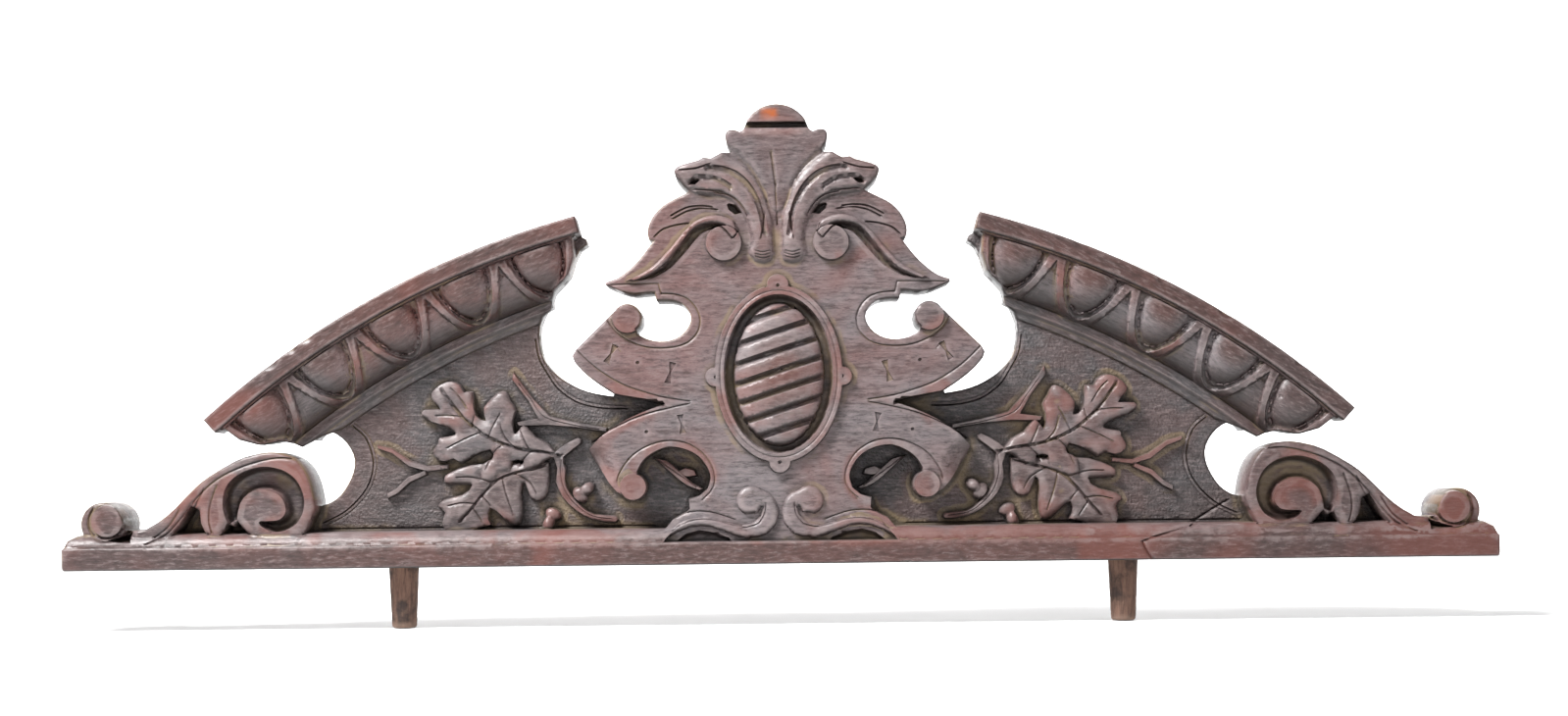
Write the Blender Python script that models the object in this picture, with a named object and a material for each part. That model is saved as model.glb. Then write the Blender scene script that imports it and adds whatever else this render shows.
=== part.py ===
"""Carved oak overdoor: a thick plank with relief carving, two raking mouldings and two dowels.

Everything is seen from the front: X runs along the ledge, Z is up, and a depth is counted
forward from the flat back. The origin is the middle of the ledge's underside.
Outlines are drawn in millimetres on the right half and mirrored; they follow the
panel's width and height when those change.
"""
import math

import bmesh
import bpy
import numpy as np
from mathutils import Vector
from mathutils.geometry import delaunay_2d_cdt

# Overall sizes, in metres
PANEL_WIDTH = 1.054
PANEL_HEIGHT = 0.3385
FIELD_THICKNESS = 0.021
FIT_GAP = 0.0003

# The outlines below were drawn at this size, in millimetres
DRAWN_WIDTH = 1054.0
DRAWN_HEIGHT = 338.5

# Base ledge and the convex moulding above it
LEDGE_DEPTH = 0.053
LEDGE_HEIGHT = 0.0165
BASE_OVOLO_RISE = 0.010
BASE_OVOLO_PROJECTION = 0.0125
LEDGE_NOSE_STEP = 0.002

# Depths of the carving, forward of the back
PLATE_DEPTH = 0.043
STRAP_ROLL_DEPTH = 0.0485
VOLUTE_DEPTH = 0.047
VOLUTE_CHANNEL_DEPTH = 0.034
SMALL_VOLUTE_RIM_DEPTH = 0.043
SMALL_VOLUTE_EYE_DEPTH = 0.0495
SMALL_VOLUTE_FOOT_DEPTH = 0.034
OVAL_RING_DEPTH = 0.048
OVAL_FLOOR_DEPTH = 0.036
BOSS_RIM_DEPTH = 0.042
BOSS_CROWN = 0.009
CREST_LEAF_DEPTH = 0.047
CREST_PALMETTE_DEPTH = 0.045
CREST_SCROLL_DEPTH = 0.0475
LEAF_DEPTH = 0.030
UPPER_LEAF_DEPTH = 0.0325
TWIG_DEPTH = 0.0275
ACORN_DEPTH = 0.027
ACORN_CROWN = 0.006
CARVED_WALL = 0.001

# Raking mouldings: an arc struck from a centre beyond the middle of the panel
RAKE_RADIUS = 655.0
RAKE_CENTRE_ACROSS = -15.5
RAKE_CENTRE_UP = -377.5
RAKE_LOW_ANGLE = 41.9
RAKE_HIGH_ANGLE = 14.5
CAP_DEPTH = 0.054
CAP_HEIGHT = 0.0128
CAP_FILLET_DEPTH = 0.050
CAP_FILLET_HEIGHT = 0.0015
OVOLO_TOP_DEPTH = 0.049
OVOLO_FOOT_DEPTH = 0.026
OVOLO_HEIGHT = 0.0375
FOOT_FILLET_HEIGHT = 0.006
FOOT_FILLET_DEPTH = 0.027
COVE_HEIGHT = 0.0075
COVE_EDGE_DEPTH = 0.0228
MOULDING_WALL = 0.0004
FOOT_FILLET_END = 0.036
END_ROUND_START = 0.0065
END_ROUND_RADIUS = 0.0335
COVE_END = 0.046
COVE_LOW_END_CUT = 0.030
COVE_HIGH_END_CUT = 0.007
EGG_COUNT = 5
EGG_HALF_WIDTH = 0.019
EGG_HEIGHT = 0.0315
EGG_BULGE = 0.003
EGG_GROOVE_WIDTH = 0.005
EGG_GROOVE_CUT = 0.004
BOARD_REVEAL = 3.0
BOARD_END_INSET = 1.0

# Dowels
DOWEL_LEFT_X = -0.280
DOWEL_RIGHT_X = 0.254
DOWEL_TOP_RADIUS = 0.0112
DOWEL_END_RADIUS = 0.0092
DOWEL_DROP = 0.045
DOWEL_SOCKET_DEPTH = 0.015
DOWEL_SIDES = 24
DOWEL_NOSE = 0.002

# How finely curves are cut up
STEPS_PER_CURVE = 3
SNAP_DISTANCE = 0.00035
EDGE_MARGIN = 0.0006


# Drawing helpers

def drawn(points):
    """Turns millimetres on the drawing into metres on the panel."""
    across = PANEL_WIDTH / DRAWN_WIDTH
    up = PANEL_HEIGHT / DRAWN_HEIGHT
    return [(x * across, z * up) for x, z in points]


def mirrored(points):
    return [(-x, z) for x, z in reversed(points)]


def curve(points, steps=STEPS_PER_CURVE):
    """A smooth open curve through the points."""
    out = []
    last = len(points) - 1
    for i in range(last):
        before = points[max(i - 1, 0)]
        here, there = points[i], points[i + 1]
        after = points[min(i + 2, last)]
        for j in range(steps):
            t = j / steps
            out.append(tuple(
                0.5 * (2 * here[k] + (there[k] - before[k]) * t
                       + (2 * before[k] - 5 * here[k] + 4 * there[k] - after[k]) * t * t
                       + (3 * here[k] - before[k] - 3 * there[k] + after[k]) * t ** 3)
                for k in (0, 1)))
    out.append(points[last])
    return out


def arc(centre_x, centre_z, radius, start, end, steps):
    """Points round a circle, from one angle to another in degrees."""
    angles = [math.radians(start + (end - start) * i / steps) for i in range(steps + 1)]
    return [(centre_x + radius * math.cos(a), centre_z + radius * math.sin(a)) for a in angles]


def oval(centre_x, centre_z, half_width, half_height, steps, tilt=0.0):
    """A closed oval, tilted anticlockwise by an angle in degrees."""
    turn = math.radians(tilt)
    points = []
    for i in range(steps):
        a = 2 * math.pi * i / steps
        x, z = half_width * math.cos(a), half_height * math.sin(a)
        points.append((centre_x + x * math.cos(turn) - z * math.sin(turn),
                       centre_z + x * math.sin(turn) + z * math.cos(turn)))
    return points


def rake_point(angle, below):
    """A point on the rake, at an angle from upright and so many millimetres below its top."""
    a = math.radians(angle)
    radius = RAKE_RADIUS - below
    return (RAKE_CENTRE_ACROSS + radius * math.sin(a), RAKE_CENTRE_UP + radius * math.cos(a))


def rake_at(along, below):
    """A point on the rake so many millimetres up from its low end and below its top."""
    return rake_point(RAKE_LOW_ANGLE - math.degrees(along / RAKE_RADIUS), below)


# Plane geometry

def signed_distance(points, loop):
    """Distance of each point from a closed loop, positive inside."""
    p = np.asarray(points)[:, None, :]
    a = np.asarray(loop)[None, :, :]
    b = np.roll(a, -1, axis=1)
    along = b - a
    length = np.maximum((along ** 2).sum(axis=2), 1e-18)
    t = np.clip(((p - a) * along).sum(axis=2) / length, 0.0, 1.0)
    gap = p - a - along * t[:, :, None]
    distance = np.sqrt((gap ** 2).sum(axis=2)).min(axis=1)
    rises = (a[:, :, 1] > p[:, :, 1]) != (b[:, :, 1] > p[:, :, 1])
    step = np.where(along[:, :, 1] == 0, 1e-18, along[:, :, 1])
    cross = a[:, :, 0] + (p[:, :, 1] - a[:, :, 1]) * along[:, :, 0] / step
    inside = ((rises & (p[:, :, 0] < cross)).sum(axis=1) % 2) == 1
    return np.where(inside, distance, -distance)


def line_distance(points, line):
    """Distance of each point from an open line."""
    p = np.asarray(points)[:, None, :]
    a = np.asarray(line[:-1])[None, :, :]
    b = np.asarray(line[1:])[None, :, :]
    along = b - a
    length = np.maximum((along ** 2).sum(axis=2), 1e-18)
    t = np.clip(((p - a) * along).sum(axis=2) / length, 0.0, 1.0)
    gap = p - a - along * t[:, :, None]
    return np.sqrt((gap ** 2).sum(axis=2)).min(axis=1)


def unit(dx, dz):
    size = math.hypot(dx, dz) or 1.0
    return dx / size, dz / size


def shifted(line, offset, closed):
    """The line moved sideways along its corners' bisectors: to its left if positive."""
    count = len(line)
    out = []
    for i, (x, z) in enumerate(line):
        before = line[(i - 1) % count] if closed or i > 0 else None
        after = line[(i + 1) % count] if closed or i < count - 1 else None
        came = unit(x - before[0], z - before[1]) if before else None
        goes = unit(after[0] - x, after[1] - z) if after else came
        came = came or goes
        across, up = unit(-came[1] - goes[1], came[0] + goes[0])
        reach = offset / max(0.45, -came[1] * across + came[0] * up)
        out.append((x + across * reach, z + up * reach))
    return out


def anticlockwise(loop):
    area = sum(loop[i - 1][0] * loop[i][1] - loop[i][0] * loop[i - 1][1]
               for i in range(len(loop)))
    return list(loop) if area > 0 else list(reversed(loop))


# Carving: each cut changes the depths under its outline and gives the edges it needs

class Raised:
    """A form that stands up to a depth, with a steep wall and a crowned top if asked."""

    def __init__(self, loop, depth, crown=0.0, rings=()):
        self.loop = anticlockwise(drawn(loop))
        self.depth = depth
        self.crown = crown
        self.rings = rings

    def carve(self, points, depths):
        inside = signed_distance(points, self.loop)
        wall = np.clip(inside / CARVED_WALL, 0.0, 1.0)
        top = np.full(len(points), self.depth)
        if self.crown:
            top = top + self.crown * self.dome(points)
        raised = FIELD_THICKNESS + (top - FIELD_THICKNESS) * wall
        return np.where(inside > 0, np.maximum(depths, raised), depths)

    def dome(self, points):
        middle = np.mean(np.asarray(self.loop), axis=0)
        reach = np.max(np.abs(np.asarray(self.loop) - middle), axis=0)
        spread = (((np.asarray(points) - middle) / reach) ** 2).sum(axis=1)
        return np.sqrt(np.clip(1.0 - spread, 0.0, 1.0))

    def edges(self):
        lines = [self.loop, shifted(self.loop, CARVED_WALL, True)]
        middle = np.mean(np.asarray(self.loop), axis=0)
        for ring in self.rings:
            lines.append([tuple(middle + (np.asarray(p) - middle) * ring) for p in self.loop])
        return [line + [line[0]] for line in lines]


class Sunk:
    """A hollow cut down to a depth, with a sloping or hollowed side of a given width."""

    def __init__(self, loop, depth, side=CARVED_WALL):
        self.loop = anticlockwise(drawn(loop))
        self.depth = depth
        self.side = side

    def carve(self, points, depths):
        inside = signed_distance(points, self.loop)
        share = np.clip(inside / self.side, 0.0, 1.0)
        hollow = 1.0 - np.sqrt(1.0 - (1.0 - share) ** 2) if self.side > CARVED_WALL else 1.0 - share
        cut = self.depth + (depths - self.depth) * hollow
        return np.where((inside > 0) & (depths > self.depth), cut, depths)

    def edges(self):
        lines = [self.loop, shifted(self.loop, self.side, True)]
        return [line + [line[0]] for line in lines]


class Groove:
    """A cut with a V section along a line."""

    def __init__(self, line, width, cut):
        self.line = drawn(line)
        self.width = width
        self.cut = cut

    def carve(self, points, depths):
        near = line_distance(points, self.line) / (self.width / 2)
        return depths - self.cut * np.clip(1.0 - near, 0.0, 1.0)

    def edges(self):
        half = self.width / 2
        return [self.line, shifted(self.line, half, False), shifted(self.line, -half, False)]


# Solids: a front surface over an outline, straight sides and a flat back

class Net:
    """Points and edges for the front surface, with close points made one."""

    def __init__(self):
        self.points = []
        self.edges = []
        self.cells = {}

    def add(self, x, z):
        cell = (int(x / SNAP_DISTANCE // 1), int(z / SNAP_DISTANCE // 1))
        for i in (-1, 0, 1):
            for j in (-1, 0, 1):
                for k in self.cells.get((cell[0] + i, cell[1] + j), ()):
                    px, pz = self.points[k]
                    if math.hypot(px - x, pz - z) < SNAP_DISTANCE:
                        return k
        self.points.append((x, z))
        self.cells.setdefault(cell, []).append(len(self.points) - 1)
        return len(self.points) - 1

    def join(self, i, j):
        if i != j:
            self.edges.append((i, j))


def last_clear(inner, outer, border):
    """The furthest point towards the outer one that keeps clear of the border."""
    low, high = 0.0, 1.0
    for _ in range(10):
        middle = (low + high) / 2
        point = tuple(inner[k] + (outer[k] - inner[k]) * middle for k in (0, 1))
        if signed_distance([point], border)[0] > EDGE_MARGIN:
            low = middle
        else:
            high = middle
    return tuple(inner[k] + (outer[k] - inner[k]) * low for k in (0, 1))


def kept_pieces(line, border):
    """The stretches of a line that keep clear of the border."""
    clear = signed_distance(line, border) > EDGE_MARGIN
    pieces, piece = [], []
    for i, point in enumerate(line):
        if clear[i]:
            if not piece and i > 0:
                piece.append(last_clear(point, line[i - 1], border))
            piece.append(point)
        elif piece:
            piece.append(last_clear(line[i - 1], point, border))
            pieces.append(piece)
            piece = []
    return pieces + [piece] if piece else pieces


def relief_solid(name, outline, lines, depth_at, place, back_depth, colour, roughness):
    """Builds a solid from its outline, the lines its surface bends along and its depths."""
    net = Net()
    ring = []
    for x, z in outline:
        k = net.add(x, z)
        if not ring or ring[-1] != k:
            ring.append(k)
    if ring[0] == ring[-1]:
        ring.pop()
    for i in range(len(ring)):
        net.join(ring[i - 1], ring[i])
    border = [net.points[k] for k in ring]
    for line in lines:
        for piece in kept_pieces(line, border):
            marks = [net.add(x, z) for x, z in piece]
            for i, j in zip(marks, marks[1:]):
                net.join(i, j)
    flat = [Vector(p) for p in net.points]
    points, _, faces, *_ = delaunay_2d_cdt(flat, net.edges, [ring], 1, 1e-7)
    border_array = np.asarray(border)
    middles = np.asarray([np.mean([points[k] for k in f], axis=0) for f in faces])
    within = signed_distance(middles, border_array) > 0
    faces = [f for f, ok in zip(faces, within) if ok]
    used = sorted({k for f in faces for k in f})
    depths = depth_at(np.asarray([tuple(p) for p in points]))
    mesh = bmesh.new()
    front = {k: mesh.verts.new(place(points[k].x, points[k].y, depths[k])) for k in used}
    for f in faces:
        mesh.faces.new([front[k] for k in f])
    open_edges = [e for e in mesh.edges if len(e.link_faces) == 1]
    flat_of = {front[k]: points[k] for k in used}
    back = {}
    for e in open_edges:
        for v in e.verts:
            if v not in back:
                back[v] = mesh.verts.new(place(flat_of[v].x, flat_of[v].y, back_depth))
    for e in open_edges:
        a, b = e.verts
        mesh.faces.new((a, b, back[b], back[a]))
    following = {}
    for e in open_edges:
        for v, w in (e.verts, reversed(e.verts)):
            following.setdefault(v, []).append(w)
    loop, previous = [open_edges[0].verts[0]], None
    for _ in open_edges[1:]:
        ahead = [w for w in following[loop[-1]] if w is not previous]
        previous = loop[-1]
        loop.append(ahead[0])
    mesh.faces.new([back[v] for v in loop])
    bmesh.ops.recalc_face_normals(mesh, faces=mesh.faces)
    bmesh.ops.triangulate(mesh, faces=[f for f in mesh.faces if len(f.verts) > 3])
    return finish(name, mesh, colour, roughness)


def finish(name, mesh, colour, roughness, smooth=False):
    """Makes the object and gives it its own material."""
    data = bpy.data.meshes.new(name)
    mesh.to_mesh(data)
    mesh.free()
    for face in data.polygons:
        face.use_smooth = smooth
    item = bpy.data.objects.new(name, data)
    bpy.context.scene.collection.objects.link(item)
    material = bpy.data.materials.new(name + "_oak")
    material.use_nodes = True
    shader = material.node_tree.nodes["Principled BSDF"]
    shader.inputs["Base Color"].default_value = colour
    shader.inputs["Roughness"].default_value = roughness
    data.materials.append(material)
    return item


def panel_place(x, z, depth):
    return (x, LEDGE_DEPTH / 2 - depth, z)


# Outline of the plank, right half, from the ledge's foot to the knob

def ledge_end():
    """The end of the ledge and the return of its convex moulding."""
    right = DRAWN_WIDTH / 2
    top = LEDGE_HEIGHT * 1000
    rise, out = BASE_OVOLO_RISE * 1000, BASE_OVOLO_PROJECTION * 1000
    round_part = [(right - 1.0 - out + out * math.cos(math.radians(a)),
                   top + rise * math.sin(math.radians(a))) for a in (0, 35, 70)]
    return [(right - 0.8, 0.0), (right, 0.8), (right, top - 1.0), (right - 0.5, top)] + round_part


def end_volutes():
    """Small volute, the S-shaped ribbon and the large volute."""
    small = arc(499, 34, 16.5, -25, 193, 14)
    ribbon = curve([(480, 29.2), (466, 30.5), (450, 41), (440, 50.5), (430, 60.5), (420, 68.5),
                    (400, 80), (388, 84), (376, 86), (366, 85), (356, 80.5), (349, 72.5),
                    (344.5, 61), (342, 47)], 2)
    return small + ribbon


def notch_and_hidden_edge():
    """The round notch beside the large volute, then the edge behind the moulding."""
    notch = curve([(341, 46.3), (335, 48.5), (328, 53.5), (322, 62), (318, 71), (317, 80),
                   (320, 88.5), (326, 96), (334, 100.8), (341, 99.5), (345, 94.5)], 2)
    ends = [(below * 1000, ovolo_end(below) * 1000 + BOARD_END_INSET) for below in ovolo_levels()]
    behind = [(349, 96.5), rake_at(42, 56.5), rake_at(39, 50)]
    behind += [rake_at(inset, below) for below, inset in reversed(ends[:-1])]
    angles = [RAKE_LOW_ANGLE - 0.8 - i * (RAKE_LOW_ANGLE - RAKE_HIGH_ANGLE - 1.5) / 12
              for i in range(13)]
    top = [rake_point(a, BOARD_REVEAL) for a in angles]
    length = rake_length() * 1000
    end = [(147.5, 245), (142.5, 242.5), (141.5, 238.5), (147.0, 234.8)]
    end += [rake_at(length - inset, below) for below, inset in ends[1:-1]]
    end += [rake_at(length - 37, 52), rake_at(length - 38.5, 57)]
    return notch + behind + top + end


def scoop_and_arm():
    """The scoop below the moulding's inner end and the upper strapwork arm."""
    scoop = curve([(173, 189), (177.5, 178), (178, 165), (174.5, 152.5), (168, 144),
                   (160, 137.5), (148, 131), (136, 127.3), (123.5, 125.3)], 2)
    lower = curve([(122.5, 126.6), (130, 131.5), (138, 137.3), (145, 143.5), (150.5, 150)], 2)
    roll = arc(111, 181.5, 10.7, 42, 232, 12)
    return scoop + lower + [(152, 154.5), (149.5, 159), (122.8, 185)] + roll


def opening_and_wing():
    """The C-shaped opening and the wing above it."""
    opening = curve([(104, 170.3), (97, 166.5), (88, 164.5), (79, 165.4), (71, 169.5),
                     (66, 175.5), (64.3, 181.5), (66.5, 187.7), (72, 192.5), (80, 194.6),
                     (89.5, 194.6)], 2)
    underside = curve([(91, 200.6), (98, 200.2), (106, 199.5), (115, 201.5), (127, 206.6)], 2)
    upper = curve([(126.5, 208.6), (118, 211.5), (109, 218), (101, 226), (95.5, 233),
                   (91.5, 238.3)], 2)
    return opening + underside + upper


def crest_outline():
    """Leaf tips of the crest, the waist and the knob."""
    third = curve([(94.5, 239.3), (95.6, 244), (94.5, 250.5), (90.5, 258), (84, 264.5),
                   (76, 269), (64.5, 274.6)], 2)
    second = curve([(69, 279), (73.5, 284), (75.4, 289), (73, 292.6), (66, 295), (58, 297)], 2)
    lobes = [(54, 299.2), (48.5, 298.4), (45, 300.2), (41, 302.6), (34, 302.9)]
    palmette = curve([(33.5, 305.5), (36.5, 310), (37.6, 315), (36, 318.8), (32, 319.8),
                      (27, 318)], 2)
    knob = arc(0, 313, 25.5, 14, 90, 8)
    return third + second + lobes + palmette + knob


def panel_outline():
    right = (ledge_end() + end_volutes() + notch_and_hidden_edge() + scoop_and_arm()
             + opening_and_wing() + crest_outline())
    left = mirrored(right)[1:]
    return drawn(right + left)


# The carving, right half

def end_volute_carving():
    body = [(472, 16), (456, 18.5), (450, 22), (443, 30), (438, 38), (433, 46), (428, 43),
            (427, 34), (424, 27), (418, 22.5), (413, 22.5), (409, 28), (406.5, 33), (402, 30.5),
            (399, 34), (396, 30), (389, 23.5), (380, 20), (368, 18), (356, 20), (349, 27),
            (345, 36), (341, 46), (341, 62), (346, 75), (356, 84.5), (366, 88), (377, 88.7),
            (390, 86.5), (408, 81), (426, 72), (442, 56), (456, 40), (474, 35), (478, 24)]
    channel = [(406, 33), (409.5, 44), (409, 56), (404, 65), (394, 72), (380, 75.5), (366, 73),
               (356, 66), (350.5, 55), (350, 45), (354, 35), (362, 29), (372, 27), (381, 31),
               (384, 35.5), (376, 35.5), (368, 36.5), (363.5, 42), (365, 50), (370, 55.5),
               (379, 58.5), (388, 57), (395, 51.5), (398, 44), (399.5, 36)]
    return [
        Raised([(516, 16), (519, 24), (512, 32), (474, 34), (468, 16)], SMALL_VOLUTE_FOOT_DEPTH),
        Raised(body, VOLUTE_DEPTH),
        Sunk(channel, VOLUTE_CHANNEL_DEPTH, 0.004),
        Raised(oval(499, 34, 18.2, 18.2, 16), SMALL_VOLUTE_RIM_DEPTH),
        Raised(oval(494.5, 36.5, 12.5, 12.5, 16), SMALL_VOLUTE_EYE_DEPTH),
    ]


def plate():
    """The plate of the cartouche, its arms and the crest, as one raised form."""
    foot = [(88.5, 15), (87, 25), (80, 33.5), (69, 39.5), (67.5, 41), (68, 48.5), (60, 51)]
    lower_opening = curve([(54, 56), (52, 64), (54.5, 71.5), (61, 79.5), (71, 84.5), (82, 86),
                           (92, 82.5), (100, 76.5), (104.5, 69)], 2)
    lower_roll = arc(108, 57.5, 10.4, 110, 320, 10)
    lower_arm = curve([(121, 53.5), (127, 60.5), (133, 70), (139, 79), (142, 86)], 2)
    arm_top = curve([(133, 95), (122, 103), (110, 109.5), (97, 115), (86, 118.6)], 2)
    upper_arm = [(97, 121.3), (107, 123), (118, 124.9)]
    beyond = [(125, 126.9), (134, 131), (152, 146), (158, 156), (150, 172), (135, 188),
              (134, 215), (104, 235), (102, 262), (84, 285), (84, 298), (44, 310), (44, 325),
              (30, 342)]
    right = foot + lower_opening + lower_roll + lower_arm + arm_top + upper_arm + beyond
    return Raised(right + mirrored(right), PLATE_DEPTH)


def strapwork_carving():
    return [
        Raised(oval(108, 57.5, 10.4, 10.4, 14), STRAP_ROLL_DEPTH),
        Raised(oval(111, 181.5, 11.7, 11.7, 14), STRAP_ROLL_DEPTH),
        Raised(oval(47.5, 137.5, 7.0, 7.5, 12), OVAL_RING_DEPTH - 0.0004),
    ]


def foot_carving():
    """The C-scrolls at the foot of the cartouche with their long tails."""
    scroll = (arc(21.5, 46.5, 10.8, -70, 130, 12)
              + curve([(8, 52), (3.5, 47), (1.2, 39), (2.5, 30), (8, 23), (16, 19.5),
                       (26, 18.5), (36, 21.5), (48, 26), (60, 28), (75, 24), (87, 16)], 1)
              + [(88, 19), (75, 30.5), (62, 34.5), (50, 34), (38, 31), (28, 28.7)]
              + [(19.5, 31), (14.5, 36.5), (13.2, 41.5), (16.5, 37.5)])
    hollow = [(34, 15), (48, 15), (80, 15), (70, 22.6), (60, 25.4), (48, 23.4), (38, 19.4)]
    return [
        Sunk(hollow, FIELD_THICKNESS + 0.008),
        Raised(scroll, PLATE_DEPTH + 0.004),
    ]


def crest_carving():
    palmette = [(0, 322), (44, 322), (40, 306), (33, 304), (24, 296), (16, 286), (11, 274),
                (6, 262), (0, 258)]
    second_leaf = curve([(1.5, 228), (2.5, 250), (6, 266), (12, 281), (22, 293), (34, 302)], 1)
    second_leaf += [(36, 308), (60, 304), (82, 292), (70, 278), (66, 275.6)]
    second_leaf += curve([(61, 273), (52, 271), (42, 270), (32, 265), (26, 257), (22, 248),
                          (20.5, 238), (22, 229), (17, 222), (10, 220.3), (4, 222.5)], 2)
    ribbon = curve([(28.5, 244), (31, 252), (45, 257), (58, 254), (68, 246), (80, 232),
                    (92, 220), (106, 212), (122, 207.6)], 2)
    ribbon += curve([(106, 208.5), (92, 214), (82, 222), (72, 234), (63, 245), (55, 249.5),
                     (45, 250.5), (36, 247.5)], 2)
    lens = [(37.5, 266.5), (31, 264.5), (25.5, 258), (31, 257), (36, 261)]
    return [
        Raised(palmette + mirrored(palmette)[1:-1], CREST_PALMETTE_DEPTH),
        Sunk([(-32, 320.8), (32, 320.8), (32, 325.6), (-32, 325.6)], PLATE_DEPTH - 0.008),
        Raised(second_leaf, CREST_LEAF_DEPTH),
        Raised(ribbon, CREST_SCROLL_DEPTH),
        Raised(oval(39.5, 236, 13.7, 13.7, 16), CREST_SCROLL_DEPTH + 0.0008),
        Sunk(lens, PLATE_DEPTH - 0.007),
    ]


def oval_carving():
    """The oval frame with its lobes, the sunk ground and the banded boss."""
    tools = [
        Raised(oval(0, 139.5, 47.5, 66, 32), OVAL_RING_DEPTH),
        Raised(oval(0, 205.5, 8.5, 7.8, 12), OVAL_RING_DEPTH - 0.0004),
        Raised(oval(0, 74.5, 8.5, 8.4, 12), OVAL_RING_DEPTH - 0.0004),
        Sunk(oval(0, 139.5, 40.5, 58.5, 30), OVAL_FLOOR_DEPTH),
        Raised(oval(0, 139.5, 34, 53.5, 26), BOSS_RIM_DEPTH, BOSS_CROWN, (0.75,)),
    ]
    for k in range(7):
        middle = 139.5 + (k - 3) * 14.6
        half = 33.0 * math.sqrt(max(0.0, 1 - ((middle - 139.5) / 56.0) ** 2))
        rise = math.tan(math.radians(17))
        line = [(x * half, middle + x * half * rise + 2.0) for x in (-0.96, 0.0, 0.96)]
        tools.append(Groove(line, 0.0055, 0.004))
    return tools


def oak_spray():
    """Two lobed leaves, twigs and two acorns."""
    upper_leaf = [
        (163, 80), (172, 91), (181, 96), (187, 103.5), (192, 104), (196, 99), (197, 108),
        (195, 116), (199, 123), (203, 130), (210, 128.5), (220, 118), (219, 109), (224, 112),
        (226, 120), (227, 130), (233, 130), (236, 135), (243, 138), (251, 136), (259, 129),
        (257, 122), (253, 117.5), (264, 117), (266, 112), (258, 106.5), (250, 104), (241, 98.5),
        (253, 96), (254, 92), (258, 86), (256, 80), (249, 77), (242, 79), (236, 76), (228, 81),
        (215, 85.5), (214, 80), (221, 76), (222, 62), (215, 60.5), (207, 68), (200, 71),
        (198, 77), (191, 77), (190, 70), (184, 70), (172, 78)]
    lower_leaf = [
        (171, 77), (171, 60), (174, 50.5), (180, 47), (186, 50), (190, 61), (192, 54),
        (191, 44), (193, 30.5), (201, 30.5), (208, 37), (215, 42), (216, 35), (214, 30),
        (222, 28), (235, 22.5), (247, 23.5), (252, 32), (250, 40), (255, 44.5), (250, 50),
        (237, 53.5), (230, 60), (248, 60.5), (250, 66), (246, 70), (230, 76), (205, 77)]
    long_twig = [(300, 91.5), (299, 87.5), (288, 83.5), (276, 74), (262, 70), (246, 72),
                 (246, 76.5), (262, 75), (274, 79), (288, 88.5)]
    short_twig = [(293, 54.5), (292, 50), (284, 54), (275, 62), (262, 68), (263, 72.5),
                  (277, 67), (286, 58.5)]
    branch = [(197.5, 145), (194, 140), (182, 124), (170, 111), (150, 106), (128, 102),
              (128, 98), (150, 101.5), (172, 103.5), (194, 103), (196, 107), (180, 109.5),
              (187, 122), (199, 138)]
    stem = [(170, 82), (166, 72), (167, 62), (162, 50), (152, 40), (140, 33.5), (122, 31),
            (122, 36.5), (138, 38), (147, 44), (155, 53), (159, 62), (158.5, 72), (160, 80),
            (147, 90), (150, 95), (163, 88)]
    return [
        Raised(lower_leaf, LEAF_DEPTH),
        Raised(upper_leaf, UPPER_LEAF_DEPTH),
        Raised(long_twig, TWIG_DEPTH),
        Raised(short_twig, TWIG_DEPTH - 0.0006),
        Raised(branch, TWIG_DEPTH + 0.0008),
        Raised(stem, TWIG_DEPTH + 0.0014),
        Raised(oval(145.5, 54.5, 5.8, 9.0, 12, 50), ACORN_DEPTH, ACORN_CROWN, (0.6,)),
        Raised(oval(171.0, 32.5, 5.6, 9.2, 12, 26), ACORN_DEPTH, ACORN_CROWN, (0.6,)),
        Groove(curve([(163, 81), (176, 84), (195, 87), (215, 95), (230, 106), (240, 117),
                      (250, 131)], 1), 0.0036, 0.0022),
        Groove([(174, 74), (205, 66), (218, 56), (228, 44), (238, 33)], 0.0034, 0.002),
    ]


def flipped(tool):
    """The same cut on the left half."""
    twin = object.__new__(type(tool))
    twin.__dict__.update(tool.__dict__)
    if hasattr(tool, "loop"):
        twin.loop = [(-x, z) for x, z in reversed(tool.loop)]
    else:
        twin.line = [(-x, z) for x, z in tool.line]
    return twin


def panel_tools():
    right = oak_spray()
    both = right + [flipped(t) for t in right]
    right = end_volute_carving()
    both += right + [flipped(t) for t in right]
    both.append(plate())
    for group in (strapwork_carving(), foot_carving(), crest_carving()):
        both += group + [flipped(t) for t in group]
    return both + oval_carving()


# The base ledge as a depth for each height

def base_ovolo_top():
    return LEDGE_HEIGHT + BASE_OVOLO_RISE


def base_depth(z):
    """Depth of the ledge, its convex moulding and the flat field at a height."""
    nose = LEDGE_DEPTH - LEDGE_NOSE_STEP - BASE_OVOLO_PROJECTION
    share = np.clip((z - LEDGE_HEIGHT) / BASE_OVOLO_RISE, 0.0, 1.0)
    ovolo = nose + BASE_OVOLO_PROJECTION * np.sqrt(1.0 - share ** 2)
    depth = np.where(z > LEDGE_HEIGHT + CARVED_WALL / 2, ovolo, LEDGE_DEPTH)
    past = np.clip((z - base_ovolo_top()) / CARVED_WALL, 0.0, 1.0)
    return depth + (FIELD_THICKNESS - depth) * past


def base_lines():
    """Level lines that the ledge and its moulding bend along."""
    heights = [LEDGE_HEIGHT, LEDGE_HEIGHT + CARVED_WALL * 0.6]
    heights += [LEDGE_HEIGHT + BASE_OVOLO_RISE * s for s in (0.6, 0.9, 1.0)]
    heights.append(base_ovolo_top() + CARVED_WALL)
    half = PANEL_WIDTH / 2
    return [[(-half + PANEL_WIDTH * i / 6, z) for i in range(7)] for z in heights]


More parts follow.
